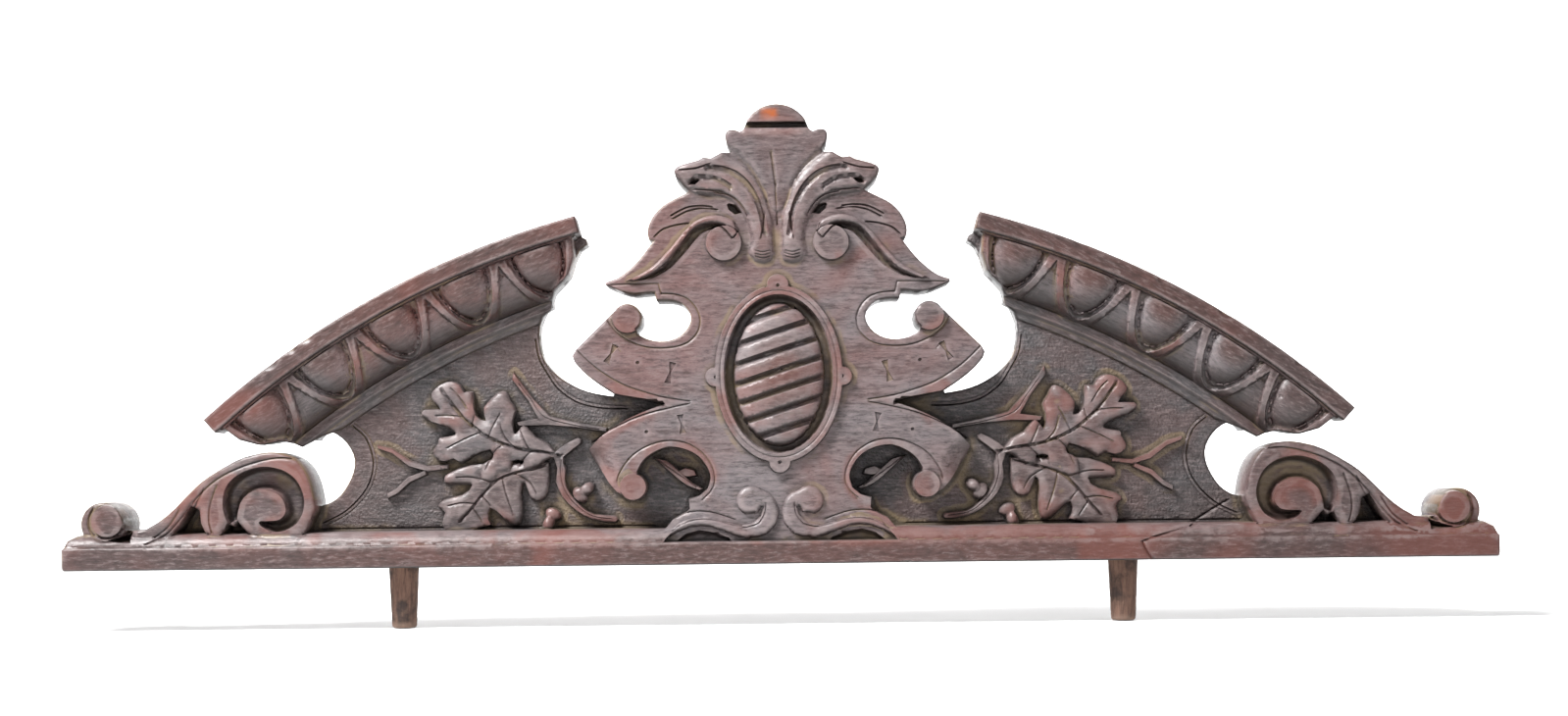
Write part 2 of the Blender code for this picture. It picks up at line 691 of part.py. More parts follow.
def carved_panel():
    tools = panel_tools()
    lines = base_lines()
    for tool in tools:
        lines += tool.edges()

    def depth_at(points):
        depths = base_depth(points[:, 1])
        for tool in tools:
            depths = tool.carve(points, depths)
        in_ledge = points[:, 1] <= LEDGE_HEIGHT + CARVED_WALL / 2
        return np.where(in_ledge, LEDGE_DEPTH, depths)

    panel = relief_solid("carved_panel", panel_outline(), lines, depth_at, panel_place, 0.0,
                         (0.16, 0.09, 0.075, 1.0), 0.55)
    for side, x in (("left", DOWEL_LEFT_X), ("right", DOWEL_RIGHT_X)):
        drill = peg("dowel_socket_" + side, x, DOWEL_TOP_RADIUS + FIT_GAP,
                    DOWEL_TOP_RADIUS + FIT_GAP, -0.005, DOWEL_SOCKET_DEPTH, 0.0)
        drill.hide_render = True
        drill.display_type = "WIRE"
        cut = panel.modifiers.new("socket_" + side, "BOOLEAN")
        cut.operation = "DIFFERENCE"
        cut.solver = "EXACT"
        cut.object = drill
    return panel


# Raking mouldings, worked out flat: along the rake, and down from its top

def moulding_levels():
    """Depth of the moulding at each distance below its top."""
    levels = [(0.0, CAP_DEPTH), (CAP_HEIGHT, CAP_DEPTH)]
    levels.append((CAP_HEIGHT + MOULDING_WALL, CAP_FILLET_DEPTH))
    below = CAP_HEIGHT + CAP_FILLET_HEIGHT
    levels.append((below, CAP_FILLET_DEPTH))
    top = below + MOULDING_WALL
    for share in (0.0, 0.35, 0.65, 0.87, 1.0):
        depth = OVOLO_FOOT_DEPTH + (OVOLO_TOP_DEPTH - OVOLO_FOOT_DEPTH) * math.sqrt(1 - share ** 2)
        levels.append((top + OVOLO_HEIGHT * share, depth))
    below = top + OVOLO_HEIGHT + MOULDING_WALL
    levels.append((below, FOOT_FILLET_DEPTH))
    below += FOOT_FILLET_HEIGHT
    levels.append((below, FOOT_FILLET_DEPTH))
    for share in (0.4, 1.0):
        drop = math.sin(share * math.pi / 2)
        depth = FOOT_FILLET_DEPTH + (COVE_EDGE_DEPTH - FOOT_FILLET_DEPTH) * drop
        levels.append((below + COVE_HEIGHT * share, depth))
    return levels


def ovolo_end(below):
    """How far in from the cap's end the rounded return starts, at a distance below the top."""
    down = below - (CAP_HEIGHT + CAP_FILLET_HEIGHT + MOULDING_WALL)
    round_part = END_ROUND_RADIUS - math.sqrt(max(0.0, END_ROUND_RADIUS ** 2 - down ** 2))
    return min(END_ROUND_START + round_part, FOOT_FILLET_END)


def ovolo_levels():
    return [below for below, depth in moulding_levels()
            if below > CAP_HEIGHT + CAP_FILLET_HEIGHT + MOULDING_WALL / 2
            and depth <= OVOLO_TOP_DEPTH][:5]


def moulding_end(cove_cut):
    """The outline of one end: the section returned, then the fillet and cove cut back."""
    levels = moulding_levels()
    fillet_end = CAP_DEPTH - CAP_FILLET_DEPTH
    out = [(0.0, 0.0), (0.0, levels[1][0])]
    out += [(fillet_end, levels[2][0]), (fillet_end, levels[3][0])]
    out += [(ovolo_end(below), below) for below in ovolo_levels()]
    cove_top = levels[-3][0]
    out.append((FOOT_FILLET_END + 0.0006, levels[-4][0]))
    out.append((FOOT_FILLET_END + 0.004, cove_top))
    for below, _ in levels[-2:]:
        share = (below - cove_top) / COVE_HEIGHT
        out.append((COVE_END + cove_cut * share, below))
    return out


def rake_length():
    return RAKE_RADIUS / 1000 * math.radians(RAKE_LOW_ANGLE - RAKE_HIGH_ANGLE)


def egg_centres():
    pitch = rake_length() / (EGG_COUNT + 0.17)
    first = (rake_length() - pitch * (EGG_COUNT - 1)) / 2
    return [first + pitch * i for i in range(EGG_COUNT)]


def egg_top():
    return CAP_HEIGHT + CAP_FILLET_HEIGHT + 2 * MOULDING_WALL


def egg_line(centre, size):
    """A U-shaped line round an egg; size 1 is the egg's own edge."""
    reach = EGG_HALF_WIDTH + (size - 1.0) * EGG_GROOVE_WIDTH
    drop = EGG_HEIGHT + (size - 1.0) * EGG_GROOVE_WIDTH
    return [(centre + reach * math.cos(math.pi * i / 10),
             egg_top() + drop * math.sin(math.pi * i / 10)) for i in range(11)]


def egg_relief(points):
    """How far the eggs stand out and their grooves cut in."""
    change = np.zeros(len(points))
    for centre in egg_centres():
        x = (points[:, 0] - centre) / EGG_HALF_WIDTH
        y = (points[:, 1] - egg_top()) / EGG_HEIGHT
        spread = np.sqrt(x ** 2 + y ** 2)
        below = y > -0.02
        change += np.where(below, EGG_BULGE * np.sqrt(np.clip(1 - spread ** 2, 0, 1)), 0.0)
        from_edge = (spread - 1.0) * (EGG_HALF_WIDTH + EGG_HEIGHT) / 2 / EGG_GROOVE_WIDTH
        groove = np.clip(1.0 - np.abs(from_edge - 0.5) * 2, 0, 1)
        change -= np.where(below, EGG_GROOVE_CUT * groove, 0.0)
    return change


def raking_moulding(side):
    levels = moulding_levels()
    length = rake_length()
    radius = RAKE_RADIUS / 1000
    belows = [b for b, _ in levels]
    depths = [d for _, d in levels]
    sign = 1 if side == "right" else -1
    foot = belows[-1]

    def place(s, t, depth):
        angle = RAKE_LOW_ANGLE - math.degrees(s / radius)
        x, z = drawn([rake_point(angle, t * 1000)])[0]
        return (sign * x, LEDGE_DEPTH / 2 - depth, z)

    low_end = moulding_end(COVE_LOW_END_CUT)
    high_end = [(length - s, t) for s, t in reversed(moulding_end(COVE_HIGH_END_CUT))]
    steps = 10
    top = [(length * i / steps, 0.0) for i in range(steps - 1, 0, -1)]
    bottom_start, bottom_end = low_end[-1][0], high_end[0][0]
    bottom = [(bottom_start + (bottom_end - bottom_start) * i / steps, foot)
              for i in range(1, steps)]
    outline = low_end + bottom + high_end + top
    lines = [[(length * i / steps, b) for i in range(steps + 1)] for b in belows[1:-1]]
    for centre in egg_centres():
        lines += [egg_line(centre, size) for size in (1.0, 1.5, 2.0)]
        lines.append([(centre + (p[0] - centre) * 0.6, egg_top() + (p[1] - egg_top()) * 0.6)
                      for p in egg_line(centre, 1.0)])

    def depth_at(points):
        depth = np.interp(points[:, 1], belows, depths)
        edge = signed_distance(points, outline)
        relief = egg_relief(points) * np.clip(edge / 0.004, 0.0, 1.0)
        in_ovolo = (points[:, 1] > egg_top() - 0.0002) & (points[:, 1] < egg_top() + OVOLO_HEIGHT)
        return np.where(in_ovolo, np.minimum(depth + relief, CAP_DEPTH - 0.002), depth)

    return relief_solid("raking_moulding_" + side, outline, lines, depth_at, place,
                        FIELD_THICKNESS + FIT_GAP, (0.2, 0.085, 0.065, 1.0), 0.5)


# Dowels

def peg(name, x, top_radius, end_radius, bottom, top, nose):
    """A round peg, upright, tapering to its lower end, in the middle of the ledge's depth."""
    rings = [(top, top_radius), (0.0, top_radius), (bottom + nose, end_radius)]
    if nose:
        rings.append((bottom + nose * 0.3, end_radius - nose * 0.4))
        rings.append((bottom, end_radius - nose * 1.1))
    else:
        rings[-1] = (bottom, end_radius)
    mesh = bmesh.new()
    rows = []
    for z, radius in rings:
        rows.append([mesh.verts.new((x + radius * math.cos(2 * math.pi * i / DOWEL_SIDES),
                                     radius * math.sin(2 * math.pi * i / DOWEL_SIDES), z))
                     for i in range(DOWEL_SIDES)])
    for upper, lower in zip(rows, rows[1:]):
        for i in range(DOWEL_SIDES):
            j = (i + 1) % DOWEL_SIDES
            mesh.faces.new((upper[i], lower[i], lower[j], upper[j]))
    mesh.faces.new(rows[0])
    mesh.faces.new(list(reversed(rows[-1])))
    bmesh.ops.recalc_face_normals(mesh, faces=mesh.faces)
    return finish(name, mesh, (0.13, 0.08, 0.06, 1.0), 0.8, smooth=True)


def build():
    for item in list(bpy.data.objects):
        bpy.data.objects.remove(item)
    carved_panel()
    raking_moulding("left")
    raking_moulding("right")
    for side, x in (("left", DOWEL_LEFT_X), ("right", DOWEL_RIGHT_X)):
        peg("dowel_" + side, x, DOWEL_TOP_RADIUS, DOWEL_END_RADIUS, -DOWEL_DROP,
            DOWEL_SOCKET_DEPTH - FIT_GAP, DOWEL_NOSE)


build()
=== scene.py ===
"""Looks of the carved oak overdoor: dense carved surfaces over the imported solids.

X runs along the ledge, Z is up and -Y faces the viewer. A depth is counted forward from the
flat back. Outlines are drawn in millimetres on the right half and mirrored.
"""

import math

import bmesh
import bpy
import numpy as np
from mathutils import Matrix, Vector
from mathutils.geometry import delaunay_2d_cdt
from mathutils.kdtree import KDTree


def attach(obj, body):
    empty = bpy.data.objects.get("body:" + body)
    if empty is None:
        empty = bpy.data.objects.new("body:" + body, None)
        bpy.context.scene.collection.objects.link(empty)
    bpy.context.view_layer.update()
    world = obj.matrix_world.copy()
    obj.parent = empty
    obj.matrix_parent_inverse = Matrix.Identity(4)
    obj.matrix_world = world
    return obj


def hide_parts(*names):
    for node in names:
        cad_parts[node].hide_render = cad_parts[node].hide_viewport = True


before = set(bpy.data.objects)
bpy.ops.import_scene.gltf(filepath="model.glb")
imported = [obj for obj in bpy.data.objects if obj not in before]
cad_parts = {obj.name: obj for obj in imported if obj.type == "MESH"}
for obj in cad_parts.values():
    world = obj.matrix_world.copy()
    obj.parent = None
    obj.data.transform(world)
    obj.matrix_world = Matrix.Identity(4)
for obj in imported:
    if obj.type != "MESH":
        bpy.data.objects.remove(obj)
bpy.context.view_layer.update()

# Overall sizes, in metres
PANEL_WIDTH = 1.054
PANEL_HEIGHT = 0.3385
FIELD_THICKNESS = 0.021
FIT_GAP = 0.0003

# The outlines below were drawn at this size, in millimetres
DRAWN_WIDTH = 1054.0
DRAWN_HEIGHT = 338.5

# Base ledge and the convex moulding above it
LEDGE_DEPTH = 0.053
LEDGE_HEIGHT = 0.0165
BASE_OVOLO_RISE = 0.010
BASE_OVOLO_PROJECTION = 0.0125
LEDGE_NOSE_STEP = 0.002

# Depths of the carving, forward of the back
PLATE_DEPTH = 0.043
STRAP_ROLL_DEPTH = 0.0485
VOLUTE_DEPTH = 0.047
VOLUTE_CHANNEL_DEPTH = 0.034
SMALL_VOLUTE_RIM_DEPTH = 0.043
SMALL_VOLUTE_EYE_DEPTH = 0.0495
SMALL_VOLUTE_FOOT_DEPTH = 0.034
OVAL_RING_DEPTH = 0.048
OVAL_FLOOR_DEPTH = 0.036
BOSS_RIM_DEPTH = 0.042
BOSS_CROWN = 0.009
CREST_LEAF_DEPTH = 0.047
CREST_PALMETTE_DEPTH = 0.045
CREST_SCROLL_DEPTH = 0.0475
LEAF_DEPTH = 0.030
UPPER_LEAF_DEPTH = 0.0325
TWIG_DEPTH = 0.0275
ACORN_DEPTH = 0.027
ACORN_CROWN = 0.006
CARVED_WALL = 0.001

# Raking mouldings: an arc struck from a centre beyond the middle of the panel
RAKE_RADIUS = 655.0
RAKE_CENTRE_ACROSS = -15.5
RAKE_CENTRE_UP = -377.5
RAKE_LOW_ANGLE = 41.9
RAKE_HIGH_ANGLE = 14.5
CAP_DEPTH = 0.054
CAP_HEIGHT = 0.0128
CAP_FILLET_DEPTH = 0.050
CAP_FILLET_HEIGHT = 0.0015
OVOLO_TOP_DEPTH = 0.049
OVOLO_FOOT_DEPTH = 0.026
OVOLO_HEIGHT = 0.0375
FOOT_FILLET_HEIGHT = 0.006
FOOT_FILLET_DEPTH = 0.027
COVE_HEIGHT = 0.0075
COVE_EDGE_DEPTH = 0.0228
MOULDING_WALL = 0.0004
FOOT_FILLET_END = 0.036
END_ROUND_START = 0.0065
END_ROUND_RADIUS = 0.0335
COVE_END = 0.046
COVE_LOW_END_CUT = 0.030
COVE_HIGH_END_CUT = 0.007
EGG_COUNT = 5
EGG_HALF_WIDTH = 0.019
EGG_HEIGHT = 0.0315
EGG_GROOVE_WIDTH = 0.005
EGG_GROOVE_CUT = 0.004
BOARD_REVEAL = 3.0
BOARD_END_INSET = 1.0

# Dowels
DOWEL_LEFT_X = -0.280
DOWEL_RIGHT_X = 0.254
DOWEL_TOP_RADIUS = 0.0112
DOWEL_END_RADIUS = 0.0092
DOWEL_DROP = 0.045
DOWEL_SOCKET_DEPTH = 0.015
PEG_SIDES = 64
PEG_ROWS = 22
PEG_FACETS = 9
PEG_FACET_CUT = 0.00028

# How finely the surfaces are cut up, in metres
SNAP_DISTANCE = 0.0003
EDGE_MARGIN = 0.0005
LINE_STEP = 0.0021
PANEL_SPACING = 0.0018
MOULDING_SPACING = 0.00115
STEPS_PER_CURVE = 5
EDGE_ROUND = 0.0014
EDGE_ROUND_FALL = 0.7
FILL_CLEARANCE = 0.55
BORDER_STEP = 0.0005
RECESS_ROUNDS = 4
HOLLOW_ROUNDS = 26
GROUND_REACH = 0.0008
SHARP_ANGLE = 55.0
BAND_SHARE = 0.58

# Incised lines, as width and cut in metres
RIM_LINE = (0.0018, 0.0012)
VEIN_LINE = (0.0018, 0.0011)
LOBE_LINE = (0.002, 0.0012)
STEM_LINE = (0.0013, 0.0007)
THIN_LINE = (0.0012, 0.0008)
BORDER_LINE = (0.0015, 0.0011)
BORDER_SECOND_LINE = (0.0012, 0.0006)
BORDER_GAP = -2.6  # millimetres between the border's two lines
CREST_LINE = (0.002, 0.0016)
CREST_HOLLOW = (0.0048, 0.0026)
CHANNEL_SIDE = 0.0045

# Rounded edges, as the width they take and how far they fall
TWIG_EDGE = {"round_by": 0.0022, "drop": 0.0018}
LOBE_EDGE = {"round_by": 0.0018, "drop": 0.0008}
ROLL_EDGE = {"round_by": 0.0014, "drop": 0.0006}
NOSE_EDGE = (0.0012, 0.0008)
CAP_EDGE = (0.0014, 0.0009)
HAND_WAVE = 0.0002
EGG_END_FADE = 0.004
EGG_CLEAR_OF_CAP = 0.0025

# Finer forms of the egg moulding
SHELL_WIDTH = 0.0068
SHELL_EDGE = 0.0012
SHELL_RISE = 0.0004
PIN_RADIUS = 0.0012
PIN_CUT = 0.0015
CHIP_FALL = 0.0032
DART_CUT = 0.0034
EGG_DOME = 0.0085
EGG_EDGE_DROP = 0.0055
NAIL_ALONG = 0.0478
NAIL_BELOW = 0.0273
CAP_CHIPS = {
    "left": [(0.064, 0.006, 0.002), (0.083, 0.004, 0.0016), (0.097, 0.005, 0.0018),
             (0.205, 0.003, 0.001)],
    "right": [(0.052, 0.004, 0.0014), (0.118, 0.006, 0.0018), (0.171, 0.003, 0.0012),
              (0.236, 0.005, 0.0014)],
}

# Colours
GREY_OAK = (0.152, 0.130, 0.135)
PLUM_OAK = (0.150, 0.088, 0.085)
LEDGE_OAK = (0.070, 0.036, 0.032)
RED_OAK = (0.150, 0.040, 0.027)
DARK_OAK = (0.055, 0.035, 0.034)
BLACK_OAK = (0.012, 0.008, 0.007)
GROUND_OAK = (0.062, 0.057, 0.060)
GROUND_RED = (0.066, 0.050, 0.049)
WORN_OAK = (0.25, 0.20, 0.195)
ORANGE_OAK = (0.34, 0.085, 0.02)
ORANGE_SPOT = (-0.005, 0.331)  # bare place on the knob
DUST = (0.225, 0.165, 0.092)
# painted light: a paler tint laid on upward-facing surfaces
TOP_LIGHT_TINT = (0.21, 0.165, 0.163)
PEG_PALE = (0.165, 0.090, 0.062)
PEG_DARK = (0.064, 0.034, 0.025)
PEG_END = (0.22, 0.15, 0.11)

# How much finer the grain is across than along, as X, Y and Z
OAK_STRETCH = (1.0, 9.0, 9.0)
GRIT_STRETCH = (1.0, 4.0, 4.0)
PEG_STRETCH = (9.0, 9.0, 1.0)
RAKE_GRAIN_TILT = 28.0

# Camera as in the photograph, light and floor
CAMERA_PLACE = (0.0029, -1.8265, 0.0574)
CAMERA_ROLL = 0.627
CAMERA_LENS = 56.44
CAMERA_SHIFT_UP = 0.0813
FLOOR_LEVEL = -0.0455
FLOOR_HALF_WIDTH = 9.0
SWEEP_START = 4.2
SWEEP_RADIUS = 0.8
SWEEP_TOP = 6.0
LIGHT_AIM = (0.0, 0.0, 0.15)
LIGHT_KEY = 43.0
LIGHT_FRONT = 5.0
LIGHT_BACKDROP = 420.0
WORLD_LIGHT = 0.24

# Drawing helpers

def drawn(points):
    """Turns millimetres on the drawing into metres on the panel."""
    across = PANEL_WIDTH / DRAWN_WIDTH
    up = PANEL_HEIGHT / DRAWN_HEIGHT
    return [(x * across, z * up) for x, z in points]


def mirrored(points):
    return [(-x, z) for x, z in reversed(points)]


def curve(points, steps=STEPS_PER_CURVE):
    """A smooth open curve through the points."""
    out = []
    last = len(points) - 1
    for i in range(last):
        before = points[max(i - 1, 0)]
        here, there = points[i], points[i + 1]
        after = points[min(i + 2, last)]
        for j in range(steps):
            t = j / steps
            out.append(tuple(
                0.5 * (2 * here[k] + (there[k] - before[k]) * t
                       + (2 * before[k] - 5 * here[k] + 4 * there[k] - after[k]) * t * t
                       + (3 * here[k] - before[k] - 3 * there[k] + after[k]) * t ** 3)
                for k in (0, 1)))
    out.append(points[last])
    return out


def arc(centre_x, centre_z, radius, start, end, steps):
    """Points round a circle, from one angle to another in degrees."""
    angles = [math.radians(start + (end - start) * i / steps) for i in range(steps + 1)]
    return [(centre_x + radius * math.cos(a), centre_z + radius * math.sin(a)) for a in angles]


def oval(centre_x, centre_z, half_width, half_height, steps, tilt=0.0):
    """A closed oval, tilted anticlockwise by an angle in degrees."""
    turn = math.radians(tilt)
    points = []
    for i in range(steps):
        a = 2 * math.pi * i / steps
        x, z = half_width * math.cos(a), half_height * math.sin(a)
        points.append((centre_x + x * math.cos(turn) - z * math.sin(turn),
                       centre_z + x * math.sin(turn) + z * math.cos(turn)))
    return points


def rake_point(angle, below):
    """A point on the rake, at an angle from upright and so many millimetres below its top."""
    a = math.radians(angle)
    radius = RAKE_RADIUS - below
    return (RAKE_CENTRE_ACROSS + radius * math.sin(a), RAKE_CENTRE_UP + radius * math.cos(a))


def rake_at(along, below):
    """A point on the rake so many millimetres up from its low end and below its top."""
    return rake_point(RAKE_LOW_ANGLE - math.degrees(along / RAKE_RADIUS), below)


def signed_distance(points, loop):
    """Distance of each point from a closed loop, positive inside."""
    p = np.asarray(points)[:, None, :]
    a = np.asarray(loop)[None, :, :]
    b = np.roll(a, -1, axis=1)
    along = b - a
    length = np.maximum((along ** 2).sum(axis=2), 1e-18)
    t = np.clip(((p - a) * along).sum(axis=2) / length, 0.0, 1.0)
    gap = p - a - along * t[:, :, None]
    distance = np.sqrt((gap ** 2).sum(axis=2)).min(axis=1)
    rises = (a[:, :, 1] > p[:, :, 1]) != (b[:, :, 1] > p[:, :, 1])
    step = np.where(along[:, :, 1] == 0, 1e-18, along[:, :, 1])
    cross = a[:, :, 0] + (p[:, :, 1] - a[:, :, 1]) * along[:, :, 0] / step
    inside = ((rises & (p[:, :, 0] < cross)).sum(axis=1) % 2) == 1
    return np.where(inside, distance, -distance)


def line_distance(points, line):
    """Distance of each point from an open line."""
    p = np.asarray(points)[:, None, :]
    a = np.asarray(line[:-1])[None, :, :]
    b = np.asarray(line[1:])[None, :, :]
    along = b - a
    length = np.maximum((along ** 2).sum(axis=2), 1e-18)
    t = np.clip(((p - a) * along).sum(axis=2) / length, 0.0, 1.0)
    gap = p - a - along * t[:, :, None]
    return np.sqrt((gap ** 2).sum(axis=2)).min(axis=1)


def unit(dx, dz):
    size = math.hypot(dx, dz) or 1.0
    return dx / size, dz / size


def shifted(line, offset, closed):
    """The line moved sideways along its corners' bisectors: to its left if positive."""
    count = len(line)
    out = []
    for i, (x, z) in enumerate(line):
        before = line[(i - 1) % count] if closed or i > 0 else None
        after = line[(i + 1) % count] if closed or i < count - 1 else None
        came = unit(x - before[0], z - before[1]) if before else None
        goes = unit(after[0] - x, after[1] - z) if after else came
        came = came or goes
        across, up = unit(-came[1] - goes[1], came[0] + goes[0])
        reach = offset / max(0.45, -came[1] * across + came[0] * up)
        out.append((x + across * reach, z + up * reach))
    return out


def anticlockwise(loop):
    area = sum(loop[i - 1][0] * loop[i][1] - loop[i][0] * loop[i - 1][1]
               for i in range(len(loop)))
    return list(loop) if area > 0 else list(reversed(loop))


def resampled(line, step):
    """The same line with its long stretches cut into shorter ones."""
    out = [tuple(line[0])]
    for a, b in zip(line, line[1:]):
        count = max(1, int(math.hypot(b[0] - a[0], b[1] - a[1]) / step + 0.5))
        for i in range(1, count + 1):
            out.append((a[0] + (b[0] - a[0]) * i / count, a[1] + (b[1] - a[1]) * i / count))
    return out


def within_reach(points, shape, margin):
    """Which points are near enough to a line or a loop to be touched by it."""
    low = np.min(shape, axis=0) - margin
    high = np.max(shape, axis=0) + margin
    return np.nonzero(((points >= low) & (points <= high)).all(axis=1))[0]


def round_off(inside, width, drop):
    """How far a rounded edge has fallen at a distance in from it."""
    share = 1.0 - np.clip(inside / width, 0.0, 1.0)
    return drop * (1.0 - np.sqrt(np.clip(1.0 - share ** 2, 0.0, 1.0)))


def waves(points, length, seed):
    """Smooth unevenness between -1 and 1, as a carver's hand leaves it."""
    x = points[:, 0] / length
    z = points[:, 1] / length
    return (np.sin(x * 2.1 + z * 1.3 + seed) + np.sin(z * 2.7 - x * 0.9 + seed * 2.3)
            + np.sin(x * 1.1 - z * 1.9 + seed * 0.7)) / 3.0


# Carving: each cut changes the depths under its outline and gives the edges it needs

class Cut:
    """A change of the depths inside a closed outline, and the edges that it needs."""

    def __init__(self, loop, side):
        self.loop = anticlockwise(drawn(loop))
        self.side = side

    def carve(self, points, depths):
        near = within_reach(points, self.loop, 0.0)
        out = depths.copy()
        if len(near):
            inside = signed_distance(points[near], self.loop)
            out[near] = self.change(points[near], inside, depths[near])
        return out

    def edges(self):
        lines = [self.loop, shifted(self.loop, self.side, True)]
        return [line + [line[0]] for line in lines]


class Raised(Cut):
    """A form that stands up to a depth, with a steep wall and a rounded or crowned top."""

    def __init__(self, loop, depth, crown=0.0, wall=CARVED_WALL, round_by=0.0, drop=0.0,
                 wave=0.0, wave_length=0.008):
        super().__init__(loop, wall)
        self.depth = depth
        self.crown = crown
        self.round_by = round_by
        self.drop = drop
        self.wave = wave
        self.wave_length = wave_length

    def change(self, points, inside, here):
        top = np.full(len(points), self.depth)
        if self.crown:
            top = top + self.crown * self.dome(points)
        if self.round_by:
            top = top - round_off(inside, self.round_by, self.drop)
        if self.wave:
            top = top + self.wave * waves(points, self.wave_length, self.depth * 3000)
        wall = np.clip(inside / self.side, 0.0, 1.0)
        raised = FIELD_THICKNESS + (top - FIELD_THICKNESS) * wall
        return np.where(inside > 0, np.maximum(here, raised), here)

    def dome(self, points):
        middle = np.mean(np.asarray(self.loop), axis=0)
        reach = np.max(np.abs(np.asarray(self.loop) - middle), axis=0)
        spread = (((np.asarray(points) - middle) / reach) ** 2).sum(axis=1)
        return np.sqrt(np.clip(1.0 - spread, 0.0, 1.0))


class Sunk(Cut):
    """A hollow cut down to a depth, with a sloping or hollowed side of a given width."""

    def __init__(self, loop, depth, side=CARVED_WALL):
        super().__init__(loop, side)
        self.depth = depth

    def change(self, points, inside, here):
        share = np.clip(inside / self.side, 0.0, 1.0)
        hollow = 1.0 - share
        if self.side > CARVED_WALL:
            hollow = 1.0 - np.sqrt(1.0 - (1.0 - share) ** 2)
        cut = self.depth + (here - self.depth) * hollow
        return np.where((inside > 0) & (here > self.depth), cut, here)


class Pressed(Cut):
    """A mark cut in by so much, whatever the surface under it."""

    def __init__(self, loop, cut, side=0.0006):
        super().__init__(loop, side)
        self.cut = cut

    def change(self, points, inside, here):
        return here - self.cut * np.clip(inside / self.side, 0.0, 1.0)


class Groove:
    """A cut along a line, V shaped or with a round bottom."""

    def __init__(self, line, width, cut, hollow=False):
        self.line = drawn(line)
        self.width = width
        self.cut = cut
        self.hollow = hollow

    def carve(self, points, depths):
        near = within_reach(points, self.line, self.width)
        if not len(near):
            return depths
        gap = line_distance(points[near], self.line) / (self.width / 2)
        share = np.clip(1.0 - gap, 0.0, 1.0)
        if self.hollow:
            share = np.sqrt(np.clip(1.0 - gap ** 2, 0.0, 1.0))
        out = depths.copy()
        out[near] -= self.cut * share
        return out

    def edges(self):
        half = self.width / 2
        return [self.line, shifted(self.line, half, False), shifted(self.line, -half, False)]


class Falling(Cut):
    """A surface that turns back the further it is from a line, inside an outline."""

    def __init__(self, loop, line, reach, drop):
        super().__init__(loop, 0.0)
        self.line = drawn(line)
        self.reach = reach
        self.drop = drop

    def change(self, points, inside, here):
        share = np.clip(line_distance(points, self.line) / self.reach, 0.0, 1.0)
        touched = (inside > 0) & (here > FIELD_THICKNESS + 0.002)
        return np.where(touched, here - self.drop * share ** 1.6, here)

    def edges(self):
        return [self.line]


class Bands(Cut):
    """Slanting rounded bands across the boss."""

    def __init__(self, loop, middle, pitch, slope, cut):
        super().__init__(loop, 0.0)
        self.middle = middle / 1000
        self.pitch = pitch / 1000
        self.slope = slope
        self.cut = cut

    def change(self, points, inside, here):
        level = (points[:, 1] - points[:, 0] * self.slope - self.middle) / self.pitch
        across = 2 * (level - np.floor(level)) - 1.0
        flank = np.clip((np.abs(across) - BAND_SHARE) / (1.0 - BAND_SHARE), 0.0, 1.0)
        fall = 0.16 * np.abs(across) ** 2 + 0.84 * np.sin(flank * math.pi / 2)
        return here - np.where(inside > 0, self.cut * fall, 0.0)

    def edges(self):
        lines = []
        flank = (1.0 - BAND_SHARE) / 2 * self.pitch
        for k in range(-4, 6):
            for shift in (-flank, -flank / 2, 0.0, flank / 2, flank):
                level = self.middle + k * self.pitch + shift
                line = [(x, level + x * self.slope) for x in np.linspace(-0.033, 0.033, 25)]
                inside = signed_distance(line, self.loop) > 0.0005
                kept = [p for p, ok in zip(line, inside) if ok]
                if len(kept) > 1:
                    lines.append(kept)
        return lines


# Dense meshes: outline, feature lines and rows of points between them, triangulated

class Net:
    """Points and edges for the front surface, with close points made one."""

    def __init__(self):
        self.points = []
        self.edges = []
        self.cells = {}

    def add(self, x, z):
        cell = (int(x / SNAP_DISTANCE // 1), int(z / SNAP_DISTANCE // 1))
        for i in (-1, 0, 1):
            for j in (-1, 0, 1):
                for k in self.cells.get((cell[0] + i, cell[1] + j), ()):
                    px, pz = self.points[k]
                    if math.hypot(px - x, pz - z) < SNAP_DISTANCE:
                        return k
        self.points.append((x, z))
        self.cells.setdefault(cell, []).append(len(self.points) - 1)
        return len(self.points) - 1

    def join(self, i, j):
        if i != j:
            self.edges.append((i, j))


def last_clear(inner, outer, border):
    """The furthest point towards the outer one that keeps clear of the border."""
    low, high = 0.0, 1.0
    for _ in range(10):
        middle = (low + high) / 2
        point = tuple(inner[k] + (outer[k] - inner[k]) * middle for k in (0, 1))
        if signed_distance([point], border)[0] > EDGE_MARGIN:
            low = middle
        else:
            high = middle
    return tuple(inner[k] + (outer[k] - inner[k]) * low for k in (0, 1))


def kept_pieces(line, border):
    """The stretches of a line that keep clear of the border."""
    clear = signed_distance(line, border) > EDGE_MARGIN
    pieces, piece = [], []
    for i, point in enumerate(line):
        if clear[i]:
            if not piece and i > 0:
                piece.append(last_clear(point, line[i - 1], border))
            piece.append(point)
        elif piece:
            piece.append(last_clear(line[i - 1], point, border))
            pieces.append(piece)
            piece = []
    return pieces + [piece] if piece else pieces


